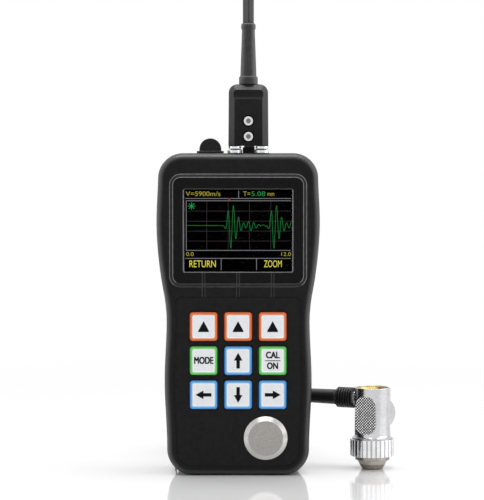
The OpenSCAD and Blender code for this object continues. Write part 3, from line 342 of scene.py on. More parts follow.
def block(low, high):
    """A box between two corners."""
    low, high = Vector(low) * mm, Vector(high) * mm
    bpy.ops.mesh.primitive_cube_add(size=1, location=(low + high) / 2, scale=high - low)
    return done()


def modify(item, kind, **settings):
    """Adds a modifier to the item and applies it."""
    take(item)
    made = item.modifiers.new(kind.lower(), kind)
    for key, value in settings.items():
        setattr(made, key, value)
    bpy.ops.object.modifier_apply(modifier=made.name)
    return item


def cut(item, *tools, kind="DIFFERENCE"):
    """Cuts the tools out of the item, one by one, and throws them away."""
    for tool in tools:
        modify(item, "BOOLEAN", object=tool, operation=kind, solver="EXACT")
        bpy.data.objects.remove(tool)
    return item


def add(item, *tools):
    """Joins the tools on to the item, one by one."""
    return cut(item, *tools, kind="UNION")


def smooth(item, degrees):
    """Shades curves as smooth and keeps the edges sharper than this."""
    take(item)
    bpy.ops.object.shade_smooth_by_angle(angle=math.radians(degrees))
    modify(item, "WEIGHTED_NORMAL", keep_sharp=True, weight=80)
    item.select_set(False)


def piece(item, name, body, made, slot, *stands_for, sharp=32):
    """Names, smooths and dresses a piece and puts it on its moving body. Flat ones have no sharp angle."""
    item.name = name
    if sharp:
        smooth(item, sharp)
    wear(item, made)
    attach(item, body)
    if stands_for:
        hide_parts(*stands_for)


strap = modify(block((-31.5, 60.5, 0.1), (-24.5, 67.5, 13.1)), "BEVEL", width=1.6 * mm, segments=5,
               limit_method="ANGLE")
strap_bore = modify(block((-31.1, 59, 0.5), (-24.9, 69, 12.7)), "BEVEL", width=1.2 * mm, segments=5,
                    limit_method="ANGLE")
strap_end = modify(block((-31.9, 60.5, 3), (-31.45, 67.5, 9.5)), "BEVEL", width=0.15 * mm, segments=2)
add(cut(strap, strap_bore), strap_end)
tape = finish("woven_tape", (0.02, 0.02, 0.022), 0.85, Sheen_Weight=0.3)
weave = tape.node("TexWave", "Fac", {"Vector": tape.places(turn=(0, 0, 0.6)), "Scale": 900, "Distortion": 3,
                                     "Detail": 2})
tape.drive("Base Color", tape.ramp(weave, (0, 0.012), (1, 0.04)))
tape.bump(weave, 0.0002)
piece(strap, "coil_strap", "gauge", tape, "strap", "cord_tie")

# The rear half of the case is a deep ABS moulding. Its wall is 2.5 mm thick, with the battery bay and four
# screw columns inside. Its sides swell at the hand and again at the display, and its back edge is well
# rounded.
import bmesh
case_height = 150
front_y, split_y, back_y = -18.5, -5.5, 16.5
wall = 2.5
side_shares = [0, 0.11, 0.29, 0.475, 0.54, 0.61, 0.70, 0.79, 0.92, 1]
side_halves = [33.2, 33.2, 34.3, 33.3, 33.958, 35.791, 37.389, 38, 37.201, 37.06]
screw_places = ((-26, 16), (26, 16), (-28, 141.5), (28, 141.5))
socket_xs = (-1.6, 11.2)
bay_half, bay_foot, bay_top, bay_front, bay_back = 19, 19, 77, 1.1, 14.01
bay_wall, bay_ledge = 1.6, 1.5
column_r, head_well_r, shank_hole_r, socket_hole_r = 4.2, 3.1, 1.6, 3.02
foot_corner, top_corner = 12, 11.5
row_foot, row_pitch, row_count = 13, 4.15, 31


def pick(kind, test):
    """In edit mode, selects the vertices, edges or faces whose middle and direction pass the test."""
    bpy.ops.mesh.select_mode(type=kind)
    bpy.ops.mesh.select_all(action="DESELECT")
    mesh = bmesh.from_edit_mesh(bpy.context.object.data)
    for v in mesh.verts if kind == "VERT" else ():
        v.select_set(bool(test(v.co / mm)))
    for e in mesh.edges if kind == "EDGE" else ():
        a, b = (v.co for v in e.verts)
        e.select_set(bool(test((a + b) / 2 / mm, (b - a).normalized())))
    for f in mesh.faces if kind == "FACE" else ():
        f.select_set(bool(test(f.calc_center_median() / mm, f.normal)))
    mesh.select_flush_mode()
    bmesh.update_edit_mesh(bpy.context.object.data)


def pick_all(kind="FACE"):
    bpy.ops.mesh.select_mode(type=kind)
    bpy.ops.mesh.select_all(action="SELECT")


def grow(x=0, y=0, z=0):
    """Extrudes what is selected by this many millimetres."""
    bpy.ops.mesh.extrude_region_move(TRANSFORM_OT_translate={"value": (x * mm, y * mm, z * mm)})


def stretch(x=1, y=1, z=1, about=(0, 0, 0)):
    """Makes what is selected wider, deeper or taller about a place."""
    bpy.ops.transform.resize(value=(x, y, z), center_override=[c * mm for c in about])


def step_in(width, rise=0.0):
    """Insets the selected faces by a width and lifts them by a rise."""
    bpy.ops.mesh.inset(thickness=width * mm, depth=rise * mm, use_even_offset=True)


def round_over(width, rise, steps):
    """Rounds the rim of the selected face as a quarter of an ellipse."""
    turns = [math.pi / 2 * i / steps for i in range(steps + 1)]
    for a, b in zip(turns, turns[1:]):
        step_in(width * (math.cos(a) - math.cos(b)), rise * (math.sin(b) - math.sin(a)))


def round_corners(radius, steps):
    bpy.ops.mesh.bevel(affect="VERTICES", offset=radius * mm, segments=steps, clamp_overlap=False)


def half_width(z):
    """Half the case's width at a height, on a smooth curve through the stations."""
    share = min(max(z / case_height, 0), 1)
    last_side = len(side_shares) - 1
    k = max(i for i in range(last_side) if side_shares[i] <= share)
    gap = side_shares[k + 1] - side_shares[k]
    leans = [0 if i in (0, last_side) else gap * (side_halves[i + 1] - side_halves[i - 1])
             / (side_shares[i + 1] - side_shares[i - 1]) for i in (k, k + 1)]
    return curve((share - side_shares[k]) / gap, side_halves[k], side_halves[k + 1], *leans)


def flat_face(width, height, x, y, z, facing):
    """An upright face that looks to the front (-1) or to the back (1), in edit mode."""
    bpy.ops.mesh.primitive_plane_add(size=1, location=(x * mm, y * mm, z * mm),
                                     rotation=(-facing * math.pi / 2, 0, 0))
    bpy.context.object.scale = (width * mm, height * mm, 1)
    done()
    bpy.ops.object.mode_set(mode="EDIT")


def case_plate(y, facing, inset=0.0):
    """An upright flat face in the case's outline at this depth, left in edit mode and selected."""
    flat_face(2 * side_halves[0], case_height, 0, y, case_height / 2, facing)
    rows = [row_foot + row_pitch * i for i in range(row_count)]
    for z in rows:
        bpy.ops.mesh.select_all(action="SELECT")
        bpy.ops.mesh.bisect(plane_co=(0, 0, z * mm), plane_no=(0, 0, 1))
    for z in rows + [case_height]:
        pick("VERT", lambda co: abs(co.z - z) < 0.01)
        stretch(x=half_width(z) / side_halves[0])
    for z, radius in ((0, foot_corner), (case_height, top_corner)):
        pick("VERT", lambda co: abs(co.z - z) < 0.01)
        round_corners(radius, 14)
    pick_all()
    if inset:
        step_in(inset)
        bpy.ops.mesh.select_all(action="INVERT")
        bpy.ops.mesh.delete(type="FACE")
        bpy.ops.mesh.select_all(action="SELECT")


def case_core(reach, inset):
    """A block in the case's outline less an inset, that reaches this far to both sides of the joint."""
    case_plate(split_y - reach, 1, inset)
    grow(y=2 * reach)
    return done()


def parting_line():
    """The fine joint that stays open between the halves, as a ring that cuts into both."""
    return cut(block((-50, split_y - 0.2, -5), (50, split_y + 0.2, 160)), case_core(1, 0.4))


def open_shell(edge_width, edge_depth, body_depth, facing):
    """A half of the case: its outline drawn out, its rim rounded, and its wall given thickness."""
    case_plate(split_y, facing)
    grow(y=facing * (body_depth - edge_depth))
    round_over(edge_width, edge_depth, 8)
    bpy.ops.mesh.select_all(action="SELECT")
    bpy.ops.mesh.normals_make_consistent(inside=False)
    pick("FACE", lambda co, n: abs(co.y - split_y) < 0.01)
    bpy.ops.mesh.delete(type="FACE")
    return modify(done(), "SOLIDIFY", thickness=wall * mm, offset=-1, use_even_offset=True)


def bar(radius, start, end, sides=48):
    """A round bar between two points."""
    a, b = Vector(start) * mm, Vector(end) * mm
    bpy.ops.mesh.primitive_cylinder_add(vertices=sides, radius=radius * mm, depth=(b - a).length,
                                        location=(a + b) / 2,
                                        rotation=(b - a).to_track_quat("Z", "Y").to_euler())
    return done()


def gather(items):
    """Joins several parts into one object."""
    take(*items)
    if len(items) > 1:
        bpy.ops.object.join()
    return bpy.context.object


def bars(places, radius, y_from, y_to, sides=48):
    """Equal bars along Y through these (x, z) places."""
    return gather([bar(radius, (x, y_from, z), (x, y_to, z), sides) for x, z in places])


def moulded(name, tone, rough, grain=2600, depth=0.00003, gloss=0.1, edge_gloss=0.75):
    """Moulded plastic with a fine grain and a little handling polish. It shines most on its shoulders."""
    made = finish(name, tone, rough, Specular_IOR_Level=gloss)
    made.cloud(420, 4, (0.3, tuple(c * 0.8 for c in tone)), (0.72, tuple(c * 1.35 for c in tone)))
    fine = made.speckle(grain, 2)
    handled = made.span(made.speckle(55), 0.3, 0.7, rough - 0.1, rough + 0.04)
    made.drive("Roughness", made.calc("MULTIPLY_ADD", fine, 0.1, handled))
    away = made.node("LayerWeight", "Facing", {"Blend": 0.5})
    made.drive("Specular IOR Level", made.ramp(away, (0.05, gloss), (0.45, edge_gloss), (0.6, edge_gloss),
                                               (0.85, 0.04)))
    made.bump(fine, depth)
    return made


rear = open_shell(6, 7, back_y - split_y, 1)
key_post = modify(block((2.1, -2.5, 148.5), (7.5, 2.5, 152.8)), "BEVEL", width=0.3 * mm, segments=3)
bay_box = block((-bay_half - bay_wall, bay_front - bay_wall, bay_foot - bay_wall),
                (bay_half + bay_wall, 15, bay_top + bay_wall))
add(rear, bay_box, bars(screw_places, column_r, split_y, 15.2), key_post)
cut(rear, block((-bay_half, bay_front, bay_foot), (bay_half, bay_back, bay_top)),
    block((bay_ledge - bay_half, 13, bay_foot + bay_ledge),
          (bay_half - bay_ledge, 17.5, bay_top - bay_ledge)),
    bars(screw_places, head_well_r, 0, 18), bars(screw_places, shank_hole_r, -7, 1, 32),
    gather([bar(socket_hole_r, (x, 0, 146), (x, 0, 151)) for x in socket_xs]),
    block((-18.2, -3.1, 146), (-8, 3.1, 151)), cut(case_core(1, 0.63), case_core(2, 1.87)), parting_line())
case_plastic = moulded("case_black_abs", (0.008, 0.008, 0.0085), 0.4)
piece(rear, "rear_case", "gauge", case_plastic, "case", "rear_shell")

# A cord of dark silicone rubber lies in the groove between the two halves. It is pressed flat when the four
# screws are driven home.


def dress(made, *node_names):
    """Gives pieces that are kept as they are their material."""
    for name in node_names:
        wear(frame["nodes"][name], made)


dress(moulded("seal_silicone", (0.03, 0.03, 0.033), 0.6, 1800, 0.00002), "case_gasket")

# The two round cells are standard AA cells in a printed sleeve, with a nickelled cap and a flat steel foot.
# They lie side by side in the bay, one turned over.


def turned(steps, base, axis=(0, 0, 1), sides=64):
    """A turned part: a disc drawn out along its axis through (radius, height) steps."""
    bpy.ops.mesh.primitive_circle_add(vertices=sides, radius=steps[0][0] * mm, fill_type="NGON",
                                      location=(0, 0, steps[0][1] * mm))
    done()
    bpy.ops.object.mode_set(mode="EDIT")
    pick_all()
    for (r0, h0), (r1, h1) in zip(steps, steps[1:]):
        grow(z=h1 - h0)
        if r1 != r0:
            stretch(r1 / r0, r1 / r0, 1, (0, 0, h1))
    return put(done(), base, Vector(axis).to_track_quat("Z", "Y").to_euler())


cell_foot, cell_top = 22.75, 73.25
sleeve_dark, sleeve_gold = (0.05, 0.055, 0.06), (0.62, 0.44, 0.16)
cell_sleeve = finish("cell_sleeve", (0.05, 0.06, 0.07), 0.3)
share = cell_sleeve.span(cell_sleeve.along("Z"), cell_foot * mm, cell_top * mm)
cell_sleeve.drive("Base Color", cell_sleeve.ramp(share, (0, 0.52), (0.035, sleeve_dark), (0.24, sleeve_gold),
                                                 (0.27, sleeve_dark), (0.955, 0.5), kind="CONSTANT"))
cell_sleeve.drive("Metallic", cell_sleeve.ramp(share, (0, 1.0), (0.035, 0.0), (0.955, 1.0), kind="CONSTANT"))
cell_sleeve.polish(300, 0.24, 0.36)
cell_sleeve.bump(cell_sleeve.speckle(700), 0.00003)
for name, x, start, up in (("left", -7.6, cell_foot, 1), ("right", 7.6, cell_top, -1)):
    cell = turned([(4.8, 0.2), (6.4, 0), (7.0, 0.1), (7.25, 0.5), (7.25, 48.9), (7.0, 49.3), (3.6, 49.3),
                   (2.9, 49.5), (2.7, 50.2), (2.4, 50.5)], (x, 8.55, start), (0, 0, up), 56)
    piece(cell, "cell_" + name, "gauge", cell_sleeve, "cells", "battery_" + name)

# The bay's contacts are leaves bent from nickelled spring bronze. They stand on the bay's end walls and
# press on the cells.


def plain_metal(name, colour, rough, scale=900, depth=0.00001, tarnish=0.85):
    """Bare metal with faint cloudy tarnish and fine marks."""
    made = finish(name, colour, rough, Metallic=1.0)
    made.cloud(180, 4, (0.35, tuple(c * tarnish for c in colour)), (0.65, colour))
    made.polish(scale, rough - 0.05, rough + 0.07)
    made.bump(made.speckle(scale * 2, 2), depth)
    return made


dress(plain_metal("contact_nickel", (0.72, 0.66, 0.52), 0.3), "bridge_contact", "terminal_contacts")

# The battery door slides down off the back. It is an ABS plate with softened edges, five thumb grooves and
# two hooked tongues that run behind the bay's window.


def slab(width, height, radius, x, z, y_from, y_to, steps=8):
    """An upright plate with round corners, drawn from one depth to another. Its end face stays selected."""
    flat_face(width, height, x, y_from, z, 1 if y_to > y_from else -1)
    pick_all("VERT")
    if radius:
        round_corners(radius, steps)
    pick_all()
    grow(y=y_to - y_from)


def plate(*sizes):
    """A slab that needs nothing more."""
    slab(*sizes)
    return done()


door_w, door_h, door_corner, door_z, door_y = 42, 64, 3, 48, 16.65
groove_r, groove_pitch = 0.6, 2.6
slab(door_w, door_h, door_corner, 0, door_z, door_y, 17.8)
round_over(0.7, 0.7, 4)
door = done()
grooves = []
for i in range(5):
    half, z = 8.82 - 1.2 * i, 73 - groove_pitch * i
    grooves.append(bar(groove_r, (-half, 18.55, z), (half, 18.55, z), 24))
cut(door, gather(grooves))
for x_from, x_to, y_to in ((-17.2, -16.2, 17.4), (-18.7, -17.1, 13.85), (16.2, 17.2, 17.4),
                           (17.1, 18.7, 13.85)):
    add(door, block((x_from, 12.95, 36), (x_to, y_to, 68)))
piece(door, "battery_door_plate", "door", moulded("door_black_abs", (0.0084, 0.0084, 0.009), 0.4), "case",
      "battery_door")

# The boards are green glass-fibre boards with copper tracks under the lacquer. The big one carries the
# chips and the key switches, and the small one the data socket.
for name, turn, node_name in (("main_board_lacquer", (math.pi / 2, 0, 0), "main_board"),
                              ("small_board_lacquer", (0, 0, 0), "connector_board")):
    lacquer = finish(name, (0.01, 0.09, 0.035), 0.3)
    tracks = lacquer.node("TexBrick", "Color", {
        "Vector": lacquer.places(turn=turn), "Scale": 260, "Mortar Size": 0.06, "Brick Width": 1.7,
        "Row Height": 0.35, "Color1": (0.008, 0.075, 0.028, 1), "Color2": (0.01, 0.09, 0.034, 1),
        "Mortar": (0.03, 0.17, 0.07, 1)})
    dots = lacquer.node("TexVoronoi", "Distance", {"Vector": lacquer.places(), "Scale": 210})
    pads = lacquer.ramp(dots, (0.16, 1.0), (0.18, 0.0))
    lacquer.drive("Base Color", lacquer.mix(pads, tracks, (0.6, 0.45, 0.2, 1)))
    lacquer.drive("Metallic", pads)
    lacquer.bump(tracks.node.outputs["Fac"], 0.00005)
    dress(lacquer, node_name)
dress(moulded("chip_epoxy", (0.02, 0.02, 0.022), 0.5, 3000), "board_chips")
dress(plain_metal("switch_domes", (0.6, 0.6, 0.58), 0.28), "key_switches")

# The data socket under the cap is a shell folded from tinned steel sheet, with its tongue inside. It is
# soldered to the small board.
dress(plain_metal("socket_steel", (0.62, 0.63, 0.65), 0.22), "usb_socket")

# The two round probe sockets are turned brass, bright-plated. A ring with a notched edge shows on the top
# wall, and a nut holds each one from inside.
bright_plate = plain_metal("bright_plate", (0.82, 0.83, 0.85), 0.14)
notch_count, notch_r, notch_ring_r = 20, 0.22, 3.58
socket_steps = [(2.0, 140.6), (3.0, 140.6), (3.0, 150), (3.3, 150), (3.5, 150.2), (3.5, 151.4), (3.2, 151.8),
                (2.9, 152), (2.4, 151.9), (2.08, 151.6), (2.08, 144), (0.5, 144), (0.5, 149.6), (0.3, 150)]
for side, x in zip(("left", "right"), socket_xs):
    socket = turned(socket_steps, (x, 0, 0), sides=56)
    notches = []
    for i in range(notch_count):
        spot = Vector((x, 0, 150.15)) + notch_ring_r * outward_at(2 * math.pi * i / notch_count)
        notches.append(bar(notch_r, spot, (spot.x, spot.y, 152.2), 8))
    cut(socket, gather(notches))
    nut = cut(turned([(4.3, 145.7), (4.3, 147.5)], (x, 0, 0), sides=6), bar(3.0, (x, 0, 145), (x, 0, 148)))
    piece(gather([socket, nut]), "probe_socket_" + side, "gauge", bright_plate, "connector_metal",
          "socket_" + side)

# The cap over the data socket is moulded in soft black rubber, with a round tab to pull it by. A thin
# living hinge joins it to a foot that is glued to the top wall.
cap_middle = -13.1
face_up = (-math.pi / 2, 0, 0)
slab(12.6, 8.95, 1.2, 0, 0, 0, -0.75)
round_over(0.35, 0.35, 4)
cap = put(done(), (cap_middle, 0.275, 150), face_up)
add(cap, put(plate(9.4, 5.4, 1.0, 0, 0, 0, 1.6), (cap_middle, 0, 150.3), face_up))
slab(10.3, 11.3, 5.14, cap_middle, 151.35, 0, 1.4, 16)
round_over(0.4, 0.4, 4)
cap_tab = modify(done(), "MIRROR", use_axis=(False, True, False), use_mirror_merge=True)
cut(cap_tab, block((-20, -5, 140), (-5, 5, 150.6)))
add(cap, cap_tab, bar(0.55, (cap_middle - 4.9, 4.75, 150.55), (cap_middle + 4.9, 4.75, 150.55), 24))
cap_rubber = moulded("cap_rubber", (0.015, 0.015, 0.0155), 0.52, 1500, 0.00004, 0.15)
piece(cap, "socket_cap", "cap", cap_rubber, "cap_rubber", "usb_cap")
dress(cap_rubber, "cap_anchor")

# The display is a sealed colour panel held against the window. Its picture shows an echo trace over a grid,
# with the reading above it and two labels below. Each line is a thin strip that gives its own light.
display_z = 114.2
panel_y = -16.0
half_screen_w, half_screen_h = 25.2, 19.0
line, grid_line = 0.28, 0.14
plot_left, plot_right, plot_top, plot_foot = -24.2, 24.7, 13.75, -9.3
rule_z, labels_z = 14.8, -13.0
dress(moulded("panel_black", (0.012, 0.012, 0.013), 0.5), "lcd_module")


def glow(name, colour):
    """A part of the picture that gives its own light, with a faint pixel grid."""
    made = finish(name, (0, 0, 0), 0.5, Specular_IOR_Level=0.0, Emission_Strength=1.0)
    made.drive("Emission Color", made.node("TexChecker", "Color", {
        "Vector": made.places(), "Scale": 1 / (0.16 * mm), "Color1": (*colour, 1),
        "Color2": (*(0.72 * c for c in colour), 1)}))
    return made


def picture_part(item, name, tone, colour):
    piece(item, name, "gauge", glow(tone, colour), "display", sharp=None)


def strip(x0, z0, x1, z1, lift=0.02):
    """A flat strip of the picture between two corners, measured from the display's middle."""
    return block((x0, panel_y - lift, display_z + z0), (x1, panel_y - lift + 0.015, display_z + z1))


def again(item):
    """A copy of an item, with its own mesh."""
    twin = item.copy()
    twin.data = item.data.copy()
    bpy.context.scene.collection.objects.link(twin)
    return twin


def words(body, size, x, z, y, squeeze, align="CENTER", weight=0):
    """Upright lettering on a front face, made a mesh. A weight strikes it again on four sides."""
    bpy.ops.object.text_add(location=(x * mm, y * mm, z * mm), rotation=(math.pi / 2, 0, 0))
    text = bpy.context.object
    text.data.body = body
    text.data.size = size * mm
    text.data.align_x = align
    text.data.align_y = "CENTER"
    text.data.extrude = 0.01 * mm
    text.scale = (squeeze, 1, 1)
    bpy.ops.object.convert(target="MESH")
    strikes = [done()]
    if weight:
        for across, up, lift in ((-1, -1, 0.002), (1, -1, 0.004), (-1, 1, 0.006), (1, 1, 0.008)):
            strikes.append(again(strikes[0]))
            strikes[-1].data.transform(Matrix.Translation((across * weight * mm, -lift * mm,
                                                           up * weight * 0.7 * mm)))
    return gather(strikes)


panel_glass = finish("panel_glass", (0.001, 0.001, 0.001), 0.25, Specular_IOR_Level=0.0)
panel_glass.polish(500, 0.2, 0.3)
panel = strip(-half_screen_w, -half_screen_h, half_screen_w, half_screen_h, 0.015)
piece(panel, "display_panel", "gauge", panel_glass, "display", sharp=None)
rules = [(-half_screen_w, z - line / 2, half_screen_w, z + line / 2) for z in (rule_z, labels_z)]
rules += [(plot_left, z - line / 2, plot_right, z + line / 2) for z in (plot_top, plot_foot)]
rules += [(0.1, rule_z, 0.1 + line, half_screen_h), (plot_left, plot_foot, plot_left + line, plot_top)]
rules += [(x, -half_screen_h, x + line, labels_z) for x in (-8.0, 8.4)]
picture_part(gather([strip(*corners) for corners in rules]), "display_rules", "display_grey",
             (0.23, 0.23, 0.25))
grid = [strip(x, plot_foot, x + grid_line, plot_top, 0.018) for x in (-14.6, -4.7, 5.2, 15.1)]
grid += [strip(plot_left, z, plot_right, z + grid_line, 0.018) for z in (8.9, 4.2, -0.4, -5.0)]
picture_part(gather(grid), "display_grid", "display_dim", (0.06, 0.046, 0.054))
strip(-4.9, rule_z - 0.9, -3.1, rule_z + 0.2, 0.04)
bpy.ops.object.mode_set(mode="EDIT")
pick("VERT", lambda co: co.z < display_z + rule_z - 0.5)
stretch(x=0.1, about=(-4, 0, 0))
picture_part(done(), "display_gate", "display_red", (0.3, 0.04, 0.05))

# The echo trace is flat until the first echo, which swings up and down and dies away. The second echo
# follows.
trace_z, half_swing, trace_steps = 2.25, 1.17, 480
first_echo, second_echo = -6.9, 13.1
swings = (0, -1.5, 6.9, -10.6, 9.3, -6.2, 3.9, -2.4, 1.3, -1.1, 1.9, -2.4, 1.5, -1.2, 0.5, -0.2, 0.3, -0.5, 0)
bpy.ops.object.select_all(action="DESELECT")
bpy.ops.curve.primitive_nurbs_path_add(location=(0, 0, 0))
trace = bpy.context.object
trace.data.splines.clear()
spline = trace.data.splines.new("POLY")
spline.points.add(trace_steps)
for i, point in enumerate(spline.points):
    x = plot_left + 0.3 + (plot_right - plot_left - 0.4) * i / trace_steps
    reach = max(x - (second_echo if x > second_echo else first_echo), 0) / half_swing
    k = min(int(reach), len(swings) - 2)
    ease = 0.5 - 0.5 * math.cos(math.pi * min(reach - k, 1))
    z = trace_z + swings[k] + ease * (swings[k + 1] - swings[k])
    point.co = (x * mm, (panel_y - 0.1) * mm, (display_z + z) * mm, 1)
trace.data.bevel_depth = 0.095 * mm
trace.data.bevel_resolution = 1
bpy.ops.object.convert(target="MESH")
picture_part(done(), "display_trace", "display_green", (0.012, 0.3, 0.055))
star_bars = []
for k in range(4):
    ray = strip(-1.75, -0.09, 1.75, 0.09, 0.04)
    ray.data.transform(Matrix.Translation((-21.6 * mm, 0, (display_z + 11.3) * mm))
                       @ Matrix.Rotation(k * math.pi / 4, 4, "Y")
                       @ Matrix.Translation((0, 0, -display_z * mm)))
    star_bars.append(ray)
picture_part(gather(star_bars), "display_star", "display_bright_green", (0.03, 0.55, 0.12))

# The readings and the labels of the soft keys are set in the panel's one plain typeface.
for name, tone, colour, texts in (
        ("display_reading", "display_dark_green", (0.014, 0.3, 0.06), (
            ("5.08", 3.1, 6.0, 16.9, 1.25, "LEFT"),)),
        ("display_figures", "display_olive", (0.4, 0.36, 0.05), (
            ("V=5900m/s", 3.1, -24.3, 16.9, 1.13, "LEFT"), ("T=", 3.1, 2.3, 16.9, 0.95, "LEFT"),
            ("mm", 3.1, 13.5, 16.9, 0.7, "LEFT"), ("0.0", 2.6, -24.2, -11.1, 1.15, "LEFT"),
            ("12.0", 2.6, 24.6, -11.1, 1.15, "RIGHT"))),
        ("display_labels", "display_yellow", (0.8, 0.74, 0.09), (
            ("RETURN", 4.6, -16.5, -15.7, 0.73, "CENTER"), ("ZOOM", 4.6, 16.2, -15.7, 0.6, "CENTER")))):
    picture_part(gather([words(body, size, x, display_z + z, panel_y - 0.03, squeeze, align)
                         for body, size, x, z, squeeze, align in texts]), name, tone, colour)

# The front half of the case is a shallow ABS moulding. A raised bezel slopes up round the window, a shallow
# groove runs down from it to each soft key, and the key sheet lies in a recess below.
sheet_top = 83.2
marks_low, marks_high = sheet_top + 0.1, 94.8
post_places = ((-23.5, 27), (23.5, 27), (-22, 84), (22, 84))
disc_x, disc_z, disc_r = 12.8, 17.7, 10.2
skin_y = -17.2
bezel_w, bezel_h, bezel_corner = 64, 52.8, 5.4
window_w, window_h, window_ledge = 51.4, 39.2, 1.2
key_well, key_well_corner = 14, 1.7
key_columns, key_rows = (-16, 0, 16), (38, 53.85, 69.7)
front = open_shell(3.7, 5, split_y - front_y, -1)
slab(bezel_w, bezel_h, bezel_corner, 0, display_z, -17, front_y, 10)
for width, rise in ((0.1, 0.02), (0.3, 0.12), (1.2, 0.62), (0.3, 0.12), (0.1, 0.02)):
    step_in(width, rise)
bezel = done()
add(front, bezel, bars(screw_places, 3.5, skin_y, split_y), bars(post_places, 2.5, skin_y, -12.6, 32),
    bar(disc_r + 2, (disc_x, skin_y, disc_z), (disc_x, -14, disc_z), 64))
cut(front, plate(window_w, window_h, 1.1, 0, display_z, -21, -17.8),
    plate(window_w - 2 * window_ledge, window_h - 2 * window_ledge, 1, 0, display_z, -21, -15))
for x in key_columns:
    block((x - 0.5, front_y - 1.4, sheet_top), (x + 0.5, front_y + 0.3, 87.8))
    bpy.ops.object.mode_set(mode="EDIT")
    pick("VERT", lambda co: co.y < front_y)
    stretch(x=4.4, about=(x, 0, 0))
    pick("FACE", lambda co, n: n.z > 0.9)
    grow(y=-0.9, z=2)
    grow(z=4.9)
    cut(front, done())
case_plate(front_y - 1, 1, 4.5)
bpy.ops.mesh.bisect(plane_co=(0, 0, (sheet_top + 0.2) * mm), plane_no=(0, 0, 1), clear_outer=True)
pick("VERT", lambda co: co.z > sheet_top + 0.19)
round_corners(4, 8)
pick_all()
grow(y=1.6)
sheet_recess = done()
wells = [plate(key_well, key_well, key_well_corner, x, z, -19.5, -15) for x in key_columns for z in key_rows]
cut(front, sheet_recess, gather(wells),
    bar(disc_r + 0.02, (disc_x, -20, disc_z), (disc_x, -15.6, disc_z), 72),
    bars(screw_places, 1.47, -14, -5, 24), bars(post_places, 0.97, -16, -12, 24), parting_line())
piece(front, "front_case", "gauge", case_plastic, "case", "front_shell", sharp=28)


def also(item, made, test):
    """Gives the faces whose middle and direction pass the test one more material."""
    item.data.materials.append(made.owner)
    for face in item.data.polygons:
        if test(face.center / mm, face.normal):
            face.material_index = len(item.data.materials) - 1


def on_slope_edge(co, n):
    """Whether a face lies on one of the two small roundings along the bezel's slope."""
    return co.z > marks_low and abs(n.y) < 0.97 and (-18.65 < co.y < -18.51 or -19.39 < co.y < -19.25)


# The edges of the bezel's slope and the walls of the soft keys' grooves are painted paler: a painted
# highlight, brightest on the edges that face up and dimmer on those that face down.
also(front, moulded("bezel_edge_painted_highlight", (0.17, 0.17, 0.1751), 0.36),
     lambda co, n: n.z >= -0.3 and on_slope_edge(co, n))
also(front, moulded("bezel_edge_dim_painted_highlight", (0.045, 0.045, 0.04635), 0.36),
     lambda co, n: n.z < -0.3 and on_slope_edge(co, n))
also(front, moulded("bezel_face", (0.0045, 0.0045, 0.005), 0.4, gloss=0.075),
     lambda co, n: n.y < -0.97 and co.y < -19.35)
# The walls of the soft keys' grooves get a painted highlight.
also(front, moulded("groove_wall_painted_highlight", (0.03, 0.03, 0.031), 0.4),
     lambda co, n: -0.97 < n.y < -0.2 and co.y < -18.1 and marks_low < co.z < marks_high
     and any(abs(co.x - x) < 0.9 for x in key_columns))

# The window is an acrylic plate with a coat against glare, glued into its rebate. Its grey painted rim
# shows as a thin pale line.
acrylic = finish("window_acrylic", (1, 1, 1), 0.02, IOR=1.1, Transmission_Weight=1.0)
turned_away = acrylic.node("LayerWeight", "Facing", {"Blend": 0.5})
acrylic.drive("IOR", acrylic.span(turned_away, 0.1, 0.6, 1.002, 1.3))
acrylic.polish(90, 0.0, 0.03, 2)
dress(acrylic, "display_window")
rim = cut(plate(window_w - 0.2, window_h - 0.2, 1, 0, display_z, -17.9, -19.25),
          plate(window_w - 1.4, window_h - 1, 0.8, 0, display_z, -17, -20))
rim_paint = finish("rim_grey", (0.16, 0.16, 0.165), 0.35, Specular_IOR_Level=0.3)
# The top of the rim is painted darker: painted shade under the bezel's edge above it.
shaded_top = rim_paint.span(rim_paint.along("Z"), (display_z + 18.5) * mm, (display_z + 19) * mm)
rim_paint.drive("Base Color", rim_paint.ramp(shaded_top, (0, (0.16, 0.16, 0.165)), (1, 0.045)))
rim_paint.polish(700, 0.3, 0.42)
piece(rim, "window_rim", "gauge", rim_paint, "window")

# The key sheet is a matt black polyester film, die-cut for the nine keys and the test disc. The glue on its
# back holds it in the recess.
dress(moulded("key_sheet_film", (0.0085, 0.0085, 0.009), 0.46, 3800, 0.00002), "keypad_overlay")

# Each key is a moulded cap of coloured translucent plastic. A white printed field lies in its face inside
# the coloured rim, and the black legend is printed on it. A flange behind the sheet keeps it in.
key_flange, key_corner, key_rise, key_rounding = 15.1, 2.25, 3.1, 0.5
slab(key_flange, key_flange, key_corner, 0, 0, -15.2, -16, 6)
step_in(0.85)
grow(y=-key_rise)
round_over(key_rounding, key_rounding, 5)
master_key = bpy.context.object
for name in ("rim", "inner_rim", "line", "field"):
    master_key.data.materials.append(bpy.data.materials.new("key_" + name))
for band, half, next_half, sink in ((0, 6.2, 5.85, 0), (1, 5.85, 5.41, 0), (1, 5.41, 5.35, 0.06),
                                    (2, 5.35, 4.85, 0)):
    master_key.active_material_index = band
    grow(y=sink)
    stretch(next_half / half, 1, next_half / half)
    bpy.ops.mesh.select_more()
    bpy.ops.object.material_slot_assign()
    bpy.ops.mesh.select_less()
master_key.active_material_index = 3
bpy.ops.object.material_slot_assign()
pick("VERT", lambda co: co.y < -16.01)
stretch(x=0.96)
smooth(done(), 40)


def key_plastic(name, colour, edge):
    """The coloured cap, with painted shade that makes it a little darker on the rounding towards its rim."""
    made = finish(name, colour, 0.32, Specular_IOR_Level=0.4)
    shade = made.ramp(made.span(made.along("Y"), -19.6 * mm, -19.2 * mm), (0.15, colour), (0.9, edge))
    cloud = made.ramp(made.speckle(300), (0.3, 0.92), (0.7, 1.0))
    made.drive("Base Color", made.mix(1.0, shade, cloud, blend_type="MULTIPLY"))
    made.polish(700, 0.27, 0.37)
    made.bump(made.speckle(1800, 2), 0.00001)
    return made


